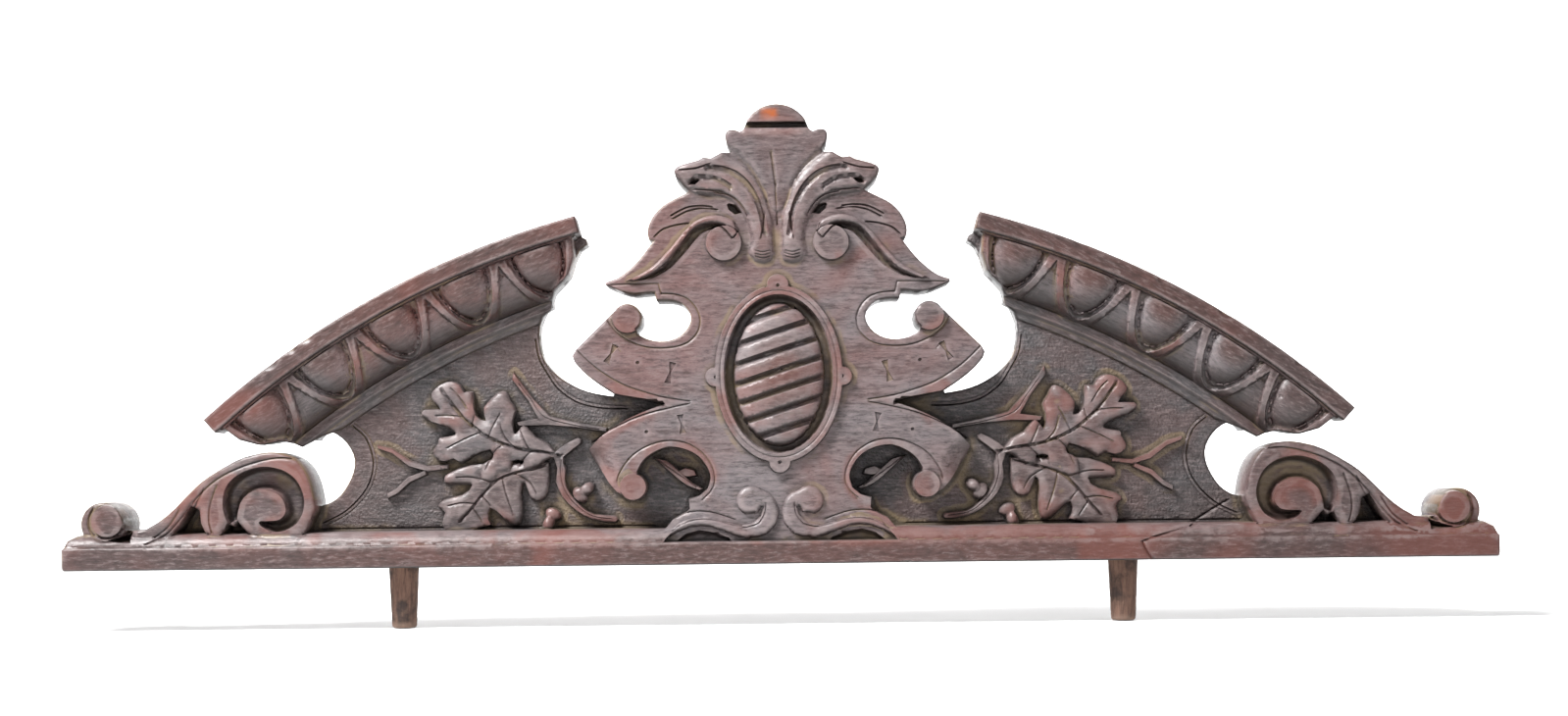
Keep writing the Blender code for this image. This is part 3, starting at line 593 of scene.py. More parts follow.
def fill_points(outline, spacing):
    """Points in staggered rows inside the outline."""
    loop = np.asarray(outline)
    after = np.roll(loop, -1, axis=0)
    low, high = loop[:, 1].min(), loop[:, 1].max()
    row_step = spacing * math.sqrt(0.75)
    out = []
    for row in range(int((high - low) / row_step)):
        z = low + (row + 0.5) * row_step
        crossing = (loop[:, 1] > z) != (after[:, 1] > z)
        a, b = loop[crossing], after[crossing]
        ends = np.sort(a[:, 0] + (z - a[:, 1]) * (b[:, 0] - a[:, 0]) / (b[:, 1] - a[:, 1]))
        for start, end in zip(ends[::2], ends[1::2]):
            first = math.ceil(start / spacing)
            last = math.floor(end / spacing)
            out += [((k + 0.5 * (row % 2)) * spacing, z) for k in range(first, last)]
    return out


def tree_of(points):
    tree = KDTree(len(points))
    for k, (x, z) in enumerate(points):
        tree.insert((x, z, 0.0), k)
    tree.balance()
    return tree


def smoothed(values, pairs, rounds):
    """Values averaged with those of their neighbours, so many times."""
    first, second = pairs[:, 0], pairs[:, 1]
    size = len(values)
    count = np.bincount(first, minlength=size) + np.bincount(second, minlength=size) + 1.0
    for _ in range(rounds):
        total = values + np.bincount(first, values[second], size)
        total += np.bincount(second, values[first], size)
        values = total / count
    return values


def placed(name, data):
    item = bpy.data.objects.new(name, data)
    bpy.context.scene.collection.objects.link(item)
    return item


def finished(name, data):
    """The mesh in the scene, shaded smooth but for its sharp edges."""
    data.polygons.foreach_set("use_smooth", [True] * len(data.polygons))
    data.set_sharp_from_angle(angle=math.radians(SHARP_ANGLE))
    return placed(name, data)


def dense_relief(name, outline, lines, depth_at, place, back_depth, spacing, flip=False):
    """A finely cut front surface over an outline, with straight sides and a flat back."""
    net = Net()
    ring = []
    for x, z in resampled(list(outline) + [outline[0]], LINE_STEP)[:-1]:
        k = net.add(x, z)
        if not ring or ring[-1] != k:
            ring.append(k)
    if ring[0] == ring[-1]:
        ring.pop()
    for i in range(len(ring)):
        net.join(ring[i - 1], ring[i])
    border = [net.points[k] for k in ring]
    inner = shifted(anticlockwise(border), EDGE_ROUND, True)
    for line in list(lines) + [inner + [inner[0]]]:
        for piece in kept_pieces(resampled(line, LINE_STEP), border):
            marks = [net.add(x, z) for x, z in piece]
            for i, j in zip(marks, marks[1:]):
                net.join(i, j)
    drawn_tree = tree_of(net.points)
    for x, z in fill_points(border, spacing):
        if drawn_tree.find((x, z, 0.0))[2] > spacing * FILL_CLEARANCE:
            net.points.append((x, z))
    flat = [Vector(p) for p in net.points]
    points, _, faces, *_ = delaunay_2d_cdt(flat, net.edges, [ring], 1, 1e-7)
    spots = np.asarray([tuple(p) for p in points])
    depths = depth_at(spots)
    border_tree = tree_of(resampled(border + [border[0]], BORDER_STEP))
    from_border = np.asarray([border_tree.find((x, z, 0.0))[2] for x, z in spots])
    depths = depths - round_off(from_border, EDGE_ROUND, EDGE_ROUND * EDGE_ROUND_FALL)
    triangles = np.asarray(faces)
    pairs = np.vstack([triangles[:, [0, 1]], triangles[:, [1, 2]], triangles[:, [2, 0]]])
    marks = {
        "recess": smoothed(depths, pairs, RECESS_ROUNDS) - depths,
        "hollow": smoothed(depths, pairs, HOLLOW_ROUNDS) - depths,
        "height": (depths - FIELD_THICKNESS) / (LEDGE_DEPTH - FIELD_THICKNESS),
        "ground": (np.abs(depths - FIELD_THICKNESS) < GROUND_REACH).astype(float),
    }
    directed = {(int(a), int(b)) for a, b in pairs}
    open_edges = {a: b for a, b in directed if (b, a) not in directed}
    start = next(iter(open_edges))
    loop = [start]
    for _ in range(len(open_edges) - 1):
        loop.append(open_edges[loop[-1]])
    count = len(spots)
    back = {k: count + i for i, k in enumerate(loop)}
    verts = [place(x, z, d) for (x, z), d in zip(spots, depths)]
    verts += [place(spots[k][0], spots[k][1], back_depth) for k in loop]
    polygons = [tuple(f) for f in faces]
    for i, b in enumerate(loop):
        a = loop[i - 1]
        polygons.append((b, a, back[a], back[b]))
    polygons.append(tuple(back[k] for k in reversed(loop)))
    if flip:
        polygons = [tuple(reversed(f)) for f in polygons]
    data = bpy.data.meshes.new(name)
    data.from_pydata(verts, [], polygons)
    mesh = bmesh.new()
    mesh.from_mesh(data)
    bmesh.ops.triangulate(mesh, faces=[f for f in mesh.faces if len(f.verts) > 3])
    mesh.to_mesh(data)
    mesh.free()
    for mark, values in marks.items():
        layer = data.attributes.new(mark, "FLOAT", "POINT")
        whole = np.zeros(len(data.vertices), dtype=np.float32)
        whole[:count] = values
        layer.data.foreach_set("value", whole)
    return finished(name, data)


def panel_place(x, z, depth):
    return (x, LEDGE_DEPTH / 2 - depth, z)


def ledge_end():
    """The end of the ledge and the return of its convex moulding."""
    right = DRAWN_WIDTH / 2
    top = LEDGE_HEIGHT * 1000
    rise, out = BASE_OVOLO_RISE * 1000, BASE_OVOLO_PROJECTION * 1000
    round_part = [(right - 1.0 - out + out * math.cos(math.radians(a)),
                   top + rise * math.sin(math.radians(a))) for a in (0, 35, 70)]
    return [(right - 0.8, 0.0), (right, 0.8), (right, top - 1.0), (right - 0.5, top)] + round_part


def end_volutes():
    """Small volute, the S-shaped ribbon and the large volute."""
    small = arc(499, 34, 16.5, -25, 193, 14)
    ribbon = curve([(480, 29.2), (466, 30.5), (450, 41), (440, 50.5), (430, 60.5), (420, 68.5),
                    (400, 80), (388, 84), (376, 86), (366, 85), (356, 80.5), (349, 72.5),
                    (344.5, 61), (342, 47)], 2)
    return small + ribbon


def notch_and_hidden_edge():
    """The round notch beside the large volute, then the edge behind the moulding."""
    notch = curve([(341, 46.3), (335, 48.5), (328, 53.5), (322, 62), (318, 71), (317, 80),
                   (320, 88.5), (326, 96), (334, 100.8), (341, 99.5), (345, 94.5)], 2)
    ends = [(below * 1000, ovolo_end(below) * 1000 + BOARD_END_INSET) for below in ovolo_levels()]
    behind = [(349, 96.5), rake_at(42, 56.5), rake_at(39, 50)]
    behind += [rake_at(inset, below) for below, inset in reversed(ends[:-1])]
    angles = [RAKE_LOW_ANGLE - 0.8 - i * (RAKE_LOW_ANGLE - RAKE_HIGH_ANGLE - 1.5) / 12
              for i in range(13)]
    top = [rake_point(a, BOARD_REVEAL) for a in angles]
    length = rake_length() * 1000
    end = [(147.5, 245), (142.5, 242.5), (141.5, 238.5), (147.0, 234.8)]
    end += [rake_at(length - inset, below) for below, inset in ends[1:-1]]
    end += [rake_at(length - 37, 52), rake_at(length - 38.5, 57)]
    return notch + behind + top + end


def scoop_and_arm():
    """The scoop below the moulding's inner end and the upper strapwork arm."""
    scoop = curve([(173, 189), (177.5, 178), (178, 165), (174.5, 152.5), (168, 144),
                   (160, 137.5), (148, 131), (136, 127.3), (123.5, 125.3)], 2)
    lower = curve([(122.5, 126.6), (130, 131.5), (138, 137.3), (145, 143.5), (150.5, 150)], 2)
    roll = arc(111, 181.5, 10.7, 42, 232, 12)
    return scoop + lower + [(152, 154.5), (149.5, 159), (122.8, 185)] + roll


def opening_and_wing():
    """The C-shaped opening and the wing above it."""
    opening = curve([(104, 170.3), (97, 166.5), (88, 164.5), (79, 165.4), (71, 169.5),
                     (66, 175.5), (64.3, 181.5), (66.5, 187.7), (72, 192.5), (80, 194.6),
                     (89.5, 194.6)], 2)
    underside = curve([(91, 200.6), (98, 200.2), (106, 199.5), (115, 201.5), (127, 206.6)], 2)
    upper = curve([(126.5, 208.6), (118, 211.5), (109, 218), (101, 226), (95.5, 233),
                   (91.5, 238.3)], 2)
    return opening + underside + upper


def crest_outline():
    """Leaf tips of the crest, the waist and the knob."""
    third = curve([(94.5, 239.3), (95.6, 244), (94.5, 250.5), (90.5, 258), (84, 264.5),
                   (76, 269), (64.5, 274.6)], 2)
    second = curve([(69, 279), (73.5, 284), (75.4, 289), (73, 292.6), (66, 295), (58, 297)], 2)
    lobes = [(54, 299.2), (48.5, 298.4), (45, 300.2), (41, 302.6), (34, 302.9)]
    palmette = curve([(33.5, 305.5), (36.5, 310), (37.6, 315), (36, 318.8), (32, 319.8),
                      (27, 318)], 2)
    knob = arc(0, 313, 25.5, 14, 90, 8)
    return third + second + lobes + palmette + knob


def panel_outline():
    right = (ledge_end() + end_volutes() + notch_and_hidden_edge() + scoop_and_arm()
             + opening_and_wing() + crest_outline())
    left = mirrored(right)[1:]
    return drawn(right + left)


# The carving, right half

def end_volute_carving():
    body = curve([(472, 16), (456, 18.5), (450, 22), (443, 30), (438, 38), (433, 46)], 2)
    body += [(428, 43), (427, 34), (424, 27), (418, 22.5), (413, 22.5), (409, 28), (406.5, 33),
             (402, 30.5), (399, 34)]
    body += curve([(396, 30), (389, 23.5), (380, 20), (368, 18), (356, 20), (349, 27),
                   (345, 36), (341, 46), (341, 62), (346, 75), (356, 84.5), (366, 88),
                   (377, 88.7), (390, 86.5), (408, 81), (426, 72), (442, 56), (456, 40),
                   (474, 35), (478, 24)], 3)
    channel = curve([(406, 33), (409.5, 44), (409, 56), (404, 65), (394, 72), (380, 75.5),
                     (366, 73), (356, 66), (350.5, 55), (350, 45), (354, 35), (362, 29),
                     (372, 27), (381, 31), (384, 35.5)], 3)
    channel += curve([(376, 35.5), (368, 36.5), (363.5, 42), (365, 50), (370, 55.5), (379, 58.5),
                      (388, 57), (395, 51.5), (398, 44), (399.5, 36)], 3)
    band = curve([(349, 79), (370, 81.5), (395, 75.5), (415, 65.5), (430, 51.5), (440, 39),
                  (452, 26), (466, 19)], 4)
    lobe_veins = [[(424, 59), (430, 47), (433, 38)], [(414, 62), (419, 48), (420, 36), (418, 27)],
                  [(442, 44), (450, 32), (460, 24)]]
    return [
        Raised([(516, 16), (519, 24), (512, 32), (474, 34), (468, 16)], SMALL_VOLUTE_FOOT_DEPTH),
        Raised(body, VOLUTE_DEPTH, round_by=0.007, drop=0.004, wave=0.0003),
        Sunk(channel, VOLUTE_CHANNEL_DEPTH, CHANNEL_SIDE),
        Groove(band, 0.0022, 0.0013),
    ] + [Groove(curve(vein, 4), *LOBE_LINE) for vein in lobe_veins] + [
        Raised(oval(499, 34, 18.2, 18.2, 40), SMALL_VOLUTE_RIM_DEPTH, round_by=0.005, drop=0.003),
        Raised(oval(494.5, 36.5, 12.5, 12.5, 32), SMALL_VOLUTE_EYE_DEPTH, round_by=0.003,
               drop=0.0012),
        Groove(arc(495, 35.5, 14.6, 150, 400, 30), 0.0024, 0.0015),
        Sunk(curve([(477, 20), (486, 20.5), (494, 22), (488, 24), (481, 27), (478, 31)], 3),
             SMALL_VOLUTE_FOOT_DEPTH - 0.006, 0.003),
    ]


def plate():
    """The plate of the cartouche, its arms and the crest, as one raised form."""
    foot = [(88.5, 15), (87, 25), (80, 33.5), (69, 39.5), (67.5, 41), (68, 48.5), (60, 51)]
    lower_opening = curve([(54, 56), (52, 64), (54.5, 71.5), (61, 79.5), (71, 84.5), (82, 86),
                           (92, 82.5), (100, 76.5), (104.5, 69)], 4)
    lower_roll = arc(108, 57.5, 10.4, 110, 320, 20)
    lower_arm = curve([(121, 53.5), (127, 60.5), (133, 70), (139, 79), (142, 86)], 3)
    arm_top = curve([(133, 95), (122, 103), (110, 109.5), (97, 115), (86, 118.6)], 3)
    upper_arm = [(97, 121.3), (107, 123), (118, 124.9)]
    beyond = [(125, 126.9), (134, 131), (152, 146), (158, 156), (150, 172), (135, 188),
              (134, 215), (104, 235), (102, 262), (84, 285), (84, 298), (44, 310), (44, 325),
              (30, 342)]
    right = foot + lower_opening + lower_roll + lower_arm + arm_top + upper_arm + beyond
    return Raised(right + mirrored(right), PLATE_DEPTH, round_by=0.0016, drop=0.0009, wave=0.0003,
                  wave_length=0.02)


def bow_tie(top_x, top_z, foot_x, foot_z):
    """A small butterfly shaped mark between two points."""
    along = unit(foot_x - top_x, foot_z - top_z)
    across = (-along[1], along[0])
    middle = ((top_x + foot_x) / 2, (top_z + foot_z) / 2)

    def off(point, reach):
        return (point[0] + across[0] * reach, point[1] + across[1] * reach)

    return Pressed([off((top_x, top_z), 2.7), off(middle, 0.75), off((foot_x, foot_z), 2.7),
                    off((foot_x, foot_z), -2.7), off(middle, -0.75), off((top_x, top_z), -2.7)],
                   0.0014)


def strapwork_carving():
    upper_rim = curve([(151.5, 161), (148, 158), (140, 150), (130, 142), (115, 133), (100, 127.5),
                       (85, 123.3), (66, 120.2)], 4)
    opening_rim = curve([(128, 184), (121, 173), (112, 166), (100, 161), (88, 159.5), (75, 160.5),
                         (66, 164), (59.5, 171), (57.5, 180), (60, 188), (66, 195), (75, 198.8),
                         (86, 199.6)], 4)
    wing = [(123, 206.5), (105, 207), (88, 207), (86, 199.6)]
    lower_rim = curve([(139, 91.5), (128, 98), (110, 106.8), (95, 112), (80, 115.6), (66, 118.5)],
                      4)
    lower_opening_rim = curve([(120, 62), (118, 68), (112, 77), (104, 84), (92, 89.5), (80, 91.3),
                               (68, 89), (57, 82), (50, 72), (48, 62), (51, 54), (57, 48)], 4)
    turned_end = [(133, 95), (142, 86), (139, 79), (127, 60.5), (121, 53.5), (116, 64), (117, 76),
                  (122, 86)]
    turn = curve([(132, 95), (124, 88), (118.5, 78), (118, 68), (121, 60)], 4)
    return [
        Falling(turned_end, turn, 0.016, 0.009),
        Falling([(122.8, 185), (149.5, 159), (153, 153), (158, 160), (130, 192)],
                [(121, 181), (148, 157)], 0.012, 0.004),
        Raised(oval(108, 57.5, 10.4, 10.4, 32), STRAP_ROLL_DEPTH, **ROLL_EDGE),
        Raised(oval(111, 181.5, 11.7, 11.7, 32), STRAP_ROLL_DEPTH, **ROLL_EDGE),
        Raised(oval(47.5, 137.5, 7.0, 7.5, 20), OVAL_RING_DEPTH - 0.0004, round_by=0.0016,
               drop=0.0008),
        dot(46.5, 137.5, 1.4, 1.4, 0.0022),
        Groove(upper_rim, *RIM_LINE),
        Groove(opening_rim, *RIM_LINE),
        Groove(wing, 0.0016, 0.001),
        Groove(lower_rim, *RIM_LINE),
        Groove(lower_opening_rim, *RIM_LINE),
        bow_tie(120, 162, 127, 149),
        bow_tie(78, 149, 82, 133.5),
        bow_tie(73, 110.5, 71, 96.5),
        dot(104, 149, 1.5, 1.4, 0.0018),
        dot(98, 98, 1.5, 1.4, 0.0018),
        Groove([(120, 162), (117, 158.5)], 0.0014, 0.0009),
    ]


def dot(x, z, across, up, cut):
    return Pressed(oval(x, z, across, up, 8), cut)


def foot_carving():
    """The C-scrolls at the foot of the cartouche with their long tails."""
    scroll = (arc(21.5, 46.5, 10.8, -70, 130, 26)
              + curve([(8, 52), (3.5, 47), (1.2, 39), (2.5, 30), (8, 23), (16, 19.5),
                       (26, 18.5), (36, 21.5), (48, 26), (60, 28), (75, 24), (87, 16)], 3)
              + curve([(88, 19), (75, 30.5), (62, 34.5), (50, 34), (38, 31), (28, 28.7),
                       (19.5, 31), (14.5, 36.5), (13.2, 41.5)], 3) + [(16.5, 37.5)])
    hollow = [(34, 15), (48, 15), (80, 15), (70, 22.6), (60, 25.4), (48, 23.4), (38, 19.4)]
    spiral = curve([(10.5, 44), (11.5, 37), (16.5, 29.5), (27, 26.5)], 4)
    tail = curve([(80, 24.5), (72, 30), (60, 33), (48, 32.3), (36, 29), (27, 27)], 4)
    over_tail = curve([(76, 35), (66, 38.8), (52, 38.5), (40, 35), (34, 32.8)], 3)
    bed = [(-1, 14), (88, 14), (84, 20), (78, 26), (70, 31), (-1, 31)]
    return [
        Sunk(bed, PLATE_DEPTH),
        Sunk(hollow, PLATE_DEPTH - 0.006, 0.004),
        Raised(scroll, PLATE_DEPTH + 0.004, round_by=0.0045, drop=0.003),
        Groove(spiral, *RIM_LINE),
        Groove(tail, 0.0015, 0.0009),
        Groove(over_tail, 0.0015, 0.001),
    ]


def crest_carving():
    palmette = curve([(0, 322), (30, 322), (44, 322)], 1) + curve(
        [(40, 306), (33, 304), (24, 296), (16, 286), (11, 274), (6, 262), (0, 258)], 3)
    second_leaf = curve([(1.5, 228), (2.5, 250), (6, 266), (12, 281), (22, 293), (34, 302)], 3)
    second_leaf += [(36, 308), (60, 304), (82, 292), (70, 278), (66, 275.6)]
    second_leaf += curve([(61, 273), (52, 271), (42, 270), (32, 265), (26, 257), (22, 248),
                          (20.5, 238), (22, 229), (17, 222), (10, 220.3), (4, 222.5)], 4)
    ribbon = curve([(28.5, 244), (31, 252), (45, 257), (58, 254), (68, 246), (80, 232),
                    (92, 220), (106, 212), (122, 207.6)], 4)
    ribbon += curve([(106, 208.5), (92, 214), (82, 222), (72, 234), (63, 245), (55, 249.5),
                     (45, 250.5), (36, 247.5)], 4)
    under_ribbon = curve([(34, 247), (45, 250.5), (55, 249.5), (63, 245), (72, 234), (82, 222),
                          (92, 214), (106, 208.5)], 4)
    under_ribbon += curve([(92, 211), (78, 219), (66, 232), (56, 243), (47, 246.5), (38, 244)], 4)
    lens = [(37.5, 266.5), (31, 264.5), (25.5, 258), (31, 257), (36, 261)]
    scroll = curve([(31.5, 251), (29.5, 244), (33, 239.5), (35.5, 242), (42, 248), (50, 247)], 4)
    hollows = [
        [(63, 281), (58, 284.5), (50, 284), (42, 282), (34, 277)],
        [(51, 291), (44, 290.5), (35, 288), (27, 283), (20, 276), (14, 265), (11, 255), (9, 243)],
    ]
    lines = [
        [(76, 255), (66, 260), (55, 262), (45, 261)],
        [(78, 257), (67, 262.5), (57, 263.8), (48, 263)],
        [(47, 293), (38, 291.5), (28, 287), (19, 278), (12.5, 266), (9.5, 255)],
        [(46, 273.5), (36, 271.5), (28, 266), (22, 257)],
        [(62, 276), (50, 275), (40, 274)],
        [(71, 290), (60, 291), (50, 294)],
        [(12, 240), (10.5, 248), (9, 257)],
        [(90, 242), (84, 247), (74, 250), (66, 251)],
    ]
    buds = [[(6, z), (11, z - 1.3), (16, z)] for z in (226.0, 228.2, 230.4)]
    return [
        Raised(palmette + mirrored(palmette)[1:-1], CREST_PALMETTE_DEPTH, round_by=0.006,
               drop=0.003),
        Sunk([(-32, 320.8), (32, 320.8), (32, 325.6), (-32, 325.6)], PLATE_DEPTH - 0.008),
        Raised(second_leaf, CREST_LEAF_DEPTH, round_by=0.009, drop=0.0055, wave=0.0005),
        Raised(ribbon, CREST_SCROLL_DEPTH, round_by=0.0035, drop=0.0026),
        Sunk(under_ribbon, PLATE_DEPTH - 0.0045, 0.002),
        Raised(oval(39.5, 236, 13.7, 13.7, 36), CREST_SCROLL_DEPTH + 0.0008, round_by=0.0025,
               drop=0.0012),
        Groove(scroll, 0.002, 0.0018),
        Sunk(lens, PLATE_DEPTH - 0.007, 0.0015),
        Sunk(curve([(66, 280), (61, 283.5), (56, 283), (60, 279)], 3), CREST_LEAF_DEPTH - 0.006,
             0.0015),
    ] + [Groove(curve(line, 4), *CREST_HOLLOW, True) for line in hollows] + [
        Groove(curve(line, 4), *CREST_LINE) for line in lines] + [
        Groove(curve(line, 3), *THIN_LINE) for line in buds] + [
        Groove([(1, 279), (2.5, 292), (4, 303)], 0.0028, 0.0014),
        Groove([(1, 279), (0.6, 266), (0, 250)], 0.002, 0.001),
    ]


def oval_carving():
    """The oval frame with its lobes, the sunk ground and the banded boss."""
    boss = oval(0, 139.5, 34, 53.5, 60)
    return [
        Raised(oval(0, 139.5, 47.5, 66, 72), OVAL_RING_DEPTH, round_by=0.0022, drop=0.0009),
        Raised(oval(0, 205.5, 8.5, 7.8, 24), OVAL_RING_DEPTH - 0.0004, **LOBE_EDGE),
        Raised(oval(0, 74.5, 8.5, 8.4, 24), OVAL_RING_DEPTH - 0.0004, **LOBE_EDGE),
        Sunk(oval(0, 139.5, 40.5, 58.5, 68), OVAL_FLOOR_DEPTH, 0.0032),
        Groove(oval(0, 139.5, 43.2, 61.3, 68) + [(43.2, 139.5)], 0.0012, 0.0006),
        Raised(boss, BOSS_RIM_DEPTH - 0.001, BOSS_CROWN + 0.001, wall=0.002),
        Bands(oval(0, 139.5, 33, 52.5, 60), 141.5, 14.6, math.tan(math.radians(18)), 0.0042),
        dot(2, 143, 1.3, 1.3, 0.002),
        dot(0, 204.5, 1.5, 1.5, 0.0022),
        dot(0, 74.5, 1.5, 1.5, 0.0022),
    ]


def leaf(loop, depth, wave):
    return Raised(curve(loop + [loop[0]], 2)[:-1], depth, wall=0.0012, round_by=0.008,
                  drop=0.0036, wave=wave, wave_length=0.007)


def oak_spray():
    """Two lobed leaves, twigs and two acorns."""
    upper_leaf = [
        (163, 80), (172, 91), (181, 96), (187, 103.5), (192, 104), (196, 99), (197, 108),
        (195, 116), (199, 123), (203, 130), (210, 128.5), (220, 118), (219, 109), (224, 112),
        (226, 120), (227, 130), (233, 130), (236, 135), (243, 138), (251, 136), (259, 129),
        (257, 122), (253, 117.5), (264, 117), (266, 112), (258, 106.5), (250, 104), (241, 98.5),
        (253, 96), (254, 92), (258, 86), (256, 80), (249, 77), (242, 79), (236, 76), (228, 81),
        (215, 85.5), (214, 80), (221, 76), (222, 62), (215, 60.5), (207, 68), (200, 71),
        (198, 77), (191, 77), (190, 70), (184, 70), (172, 78)]
    lower_leaf = [
        (171, 77), (171, 60), (174, 50.5), (180, 47), (186, 50), (190, 61), (192, 54),
        (191, 44), (193, 30.5), (201, 30.5), (208, 37), (215, 42), (216, 35), (214, 30),
        (222, 28), (235, 22.5), (247, 23.5), (252, 32), (250, 40), (255, 44.5), (250, 50),
        (237, 53.5), (230, 60), (248, 60.5), (250, 66), (246, 70), (230, 76), (205, 77)]
    long_twig = [(300, 91.5), (299, 87.5), (288, 83.5), (276, 74), (262, 70), (246, 72),
                 (246, 76.5), (262, 75), (274, 79), (288, 88.5)]
    short_twig = [(293, 54.5), (292, 50), (284, 54), (275, 62), (262, 68), (263, 72.5),
                  (277, 67), (286, 58.5)]
    branch = [(197.5, 145), (194, 140), (182, 124), (170, 111), (150, 106), (128, 102),
              (128, 98), (150, 101.5), (172, 103.5), (194, 103), (196, 107), (180, 109.5),
              (187, 122), (199, 138)]
    stem = [(170, 82), (166, 72), (167, 62), (162, 50), (152, 40), (140, 33.5), (122, 31),
            (122, 36.5), (138, 38), (147, 44), (155, 53), (159, 62), (158.5, 72), (160, 80),
            (147, 90), (150, 95), (163, 88)]
    veins = [
        [(197, 88), (204, 96), (207, 106)], [(216, 95), (212, 104), (207, 113)],
        [(228, 104), (226, 112)], [(236, 111), (246, 112), (254, 112)],
        [(222, 99), (234, 94), (246, 88)], [(205, 90), (212, 84), (218, 72)],
        [(184, 85), (190, 79), (193, 74)], [(232, 118), (238, 127), (243, 132)],
        [(186, 87), (190, 95), (192, 100)],
        [(196, 68), (186, 62), (181, 54)], [(206, 65), (203, 52), (198, 38)],
        [(221, 52), (216, 46)], [(226, 46), (236, 47), (246, 45)], [(228, 43), (222, 34)],
        [(214, 62), (228, 66), (240, 66)],
    ]
    stem_line = [(162, 78), (162.5, 66), (158.5, 53), (150, 43), (139, 36), (126, 34)]
    branch_line = [(193, 135), (184, 123), (174, 110), (152, 103.6), (134, 100.5)]
    return [
        leaf(lower_leaf, LEAF_DEPTH, 0.0009),
        leaf(upper_leaf, UPPER_LEAF_DEPTH, 0.001),
        Raised(long_twig, TWIG_DEPTH, **TWIG_EDGE),
        Raised(short_twig, TWIG_DEPTH - 0.0006, **TWIG_EDGE),
        Raised(branch, TWIG_DEPTH + 0.0008, **TWIG_EDGE, wave=0.0005),
        Raised(curve(stem + [stem[0]], 2)[:-1], TWIG_DEPTH + 0.0014, round_by=0.0024, drop=0.002),
        Groove(curve(stem_line, 4), *STEM_LINE),
        Groove(curve(branch_line, 4), *STEM_LINE),
        Raised(oval(148.6, 51.9, 5.0, 7.2, 20, -40), ACORN_DEPTH + 0.0012, 0.0032),
        Raised(oval(143.6, 56.2, 4.6, 7.0, 22, 50), ACORN_DEPTH - 0.001, ACORN_CROWN + 0.002),
        Raised(oval(168.6, 38.0, 6.6, 4.8, 20, 26), ACORN_DEPTH + 0.0012, 0.0032),
        Raised(oval(172.2, 30.9, 4.6, 7.6, 22, 26), ACORN_DEPTH - 0.001, ACORN_CROWN + 0.002),
        Groove(curve([(163, 81), (176, 84), (195, 87), (215, 95), (230, 106), (240, 117),
                      (250, 131)], 4), 0.0034, 0.0024, True),
        Groove(curve([(174, 74), (205, 66), (218, 56), (228, 44), (238, 33)], 4), 0.0028, 0.002,
               True),
    ] + [Groove(curve(vein, 4), *VEIN_LINE) for vein in veins]


def field_lines():
    """The incised double border of the field and the line above the ledge's moulding."""
    notch = curve([(318, 105), (309, 97), (304, 85), (303, 75), (306, 63), (313, 52), (325, 41),
                   (340, 33.5)], 5)
    scoop = curve([(181, 168), (178.5, 154), (171.5, 141), (165, 131.5), (155, 123.5), (145, 119),
                   (130, 116.3), (114, 116)], 5)
    tools = []
    for line in (notch, scoop):
        tools.append(Groove(line, *BORDER_LINE))
        tools.append(Groove(shifted(line, BORDER_GAP, False), *BORDER_SECOND_LINE))
    tools.append(Groove([(94, 28.6), (200, 28.9), (342, 28.6)], 0.0016, 0.001))
    inner_leaf = curve([(95, 79.5), (84, 77.5), (75, 70), (64, 60), (57, 56), (60, 54), (70, 58),
                        (80, 66), (88, 73.5)], 2)
    side_shoot = [(77, 69), (70, 72), (63, 70), (61, 65), (68, 64), (74, 65)]
    tools.append(Raised(inner_leaf, TWIG_DEPTH + 0.003, round_by=0.0024, drop=0.0018))
    tools.append(Raised(side_shoot, TWIG_DEPTH + 0.002, round_by=0.002, drop=0.0015))
    tools.append(Groove([(90, 77), (76, 67), (62, 57)], *THIN_LINE))
    return tools


def flipped(tool):
    """The same cut on the left half."""
    twin = object.__new__(type(tool))
    twin.__dict__.update(tool.__dict__)
    if hasattr(tool, "loop"):
        twin.loop = [(-x, z) for x, z in reversed(tool.loop)]
    if hasattr(tool, "line"):
        twin.line = [(-x, z) for x, z in tool.line]
    return twin


def panel_tools():
    tools = []
    right = field_lines() + oak_spray() + end_volute_carving()
    tools += right + [flipped(t) for t in right]
    tools.append(plate())
    for group in (strapwork_carving(), foot_carving(), crest_carving()):
        tools += group + [flipped(t) for t in group]
    return tools + oval_carving()


def scars():
    """The crack at the right, worn ledge corners and small bruises, as the piece has them."""
    crack = [(333, 43), (321, 36), (309, 28.5), (296, 23), (284, 19.5), (272, 16), (265, 13.6),
             (268, 7), (272, 0.9)]
    return [
        Groove(crack, 0.0026, 0.0014),
        Pressed([(300, 24.6), (309, 28.2), (310, 26.4), (302, 22.6)], 0.004),
        Pressed([(523.5, -1), (528, -1), (528, 4)], 0.004, 0.003),
        Pressed([(-523.5, -1), (-528, -1), (-528, 4)], 0.004, 0.003),
        Pressed([(404, 14.9), (418, 15.1), (416, 17), (405, 17)], 0.0012),
        Pressed([(-212, 15.2), (-199, 15.4), (-200, 17), (-210, 17)], 0.001),
        Pressed([(86, -0.5), (99, -0.5), (95, 1.8), (88, 1.6)], 0.0012),
    ]


# The base ledge as a depth for each height

def base_ovolo_top():
    return LEDGE_HEIGHT + BASE_OVOLO_RISE


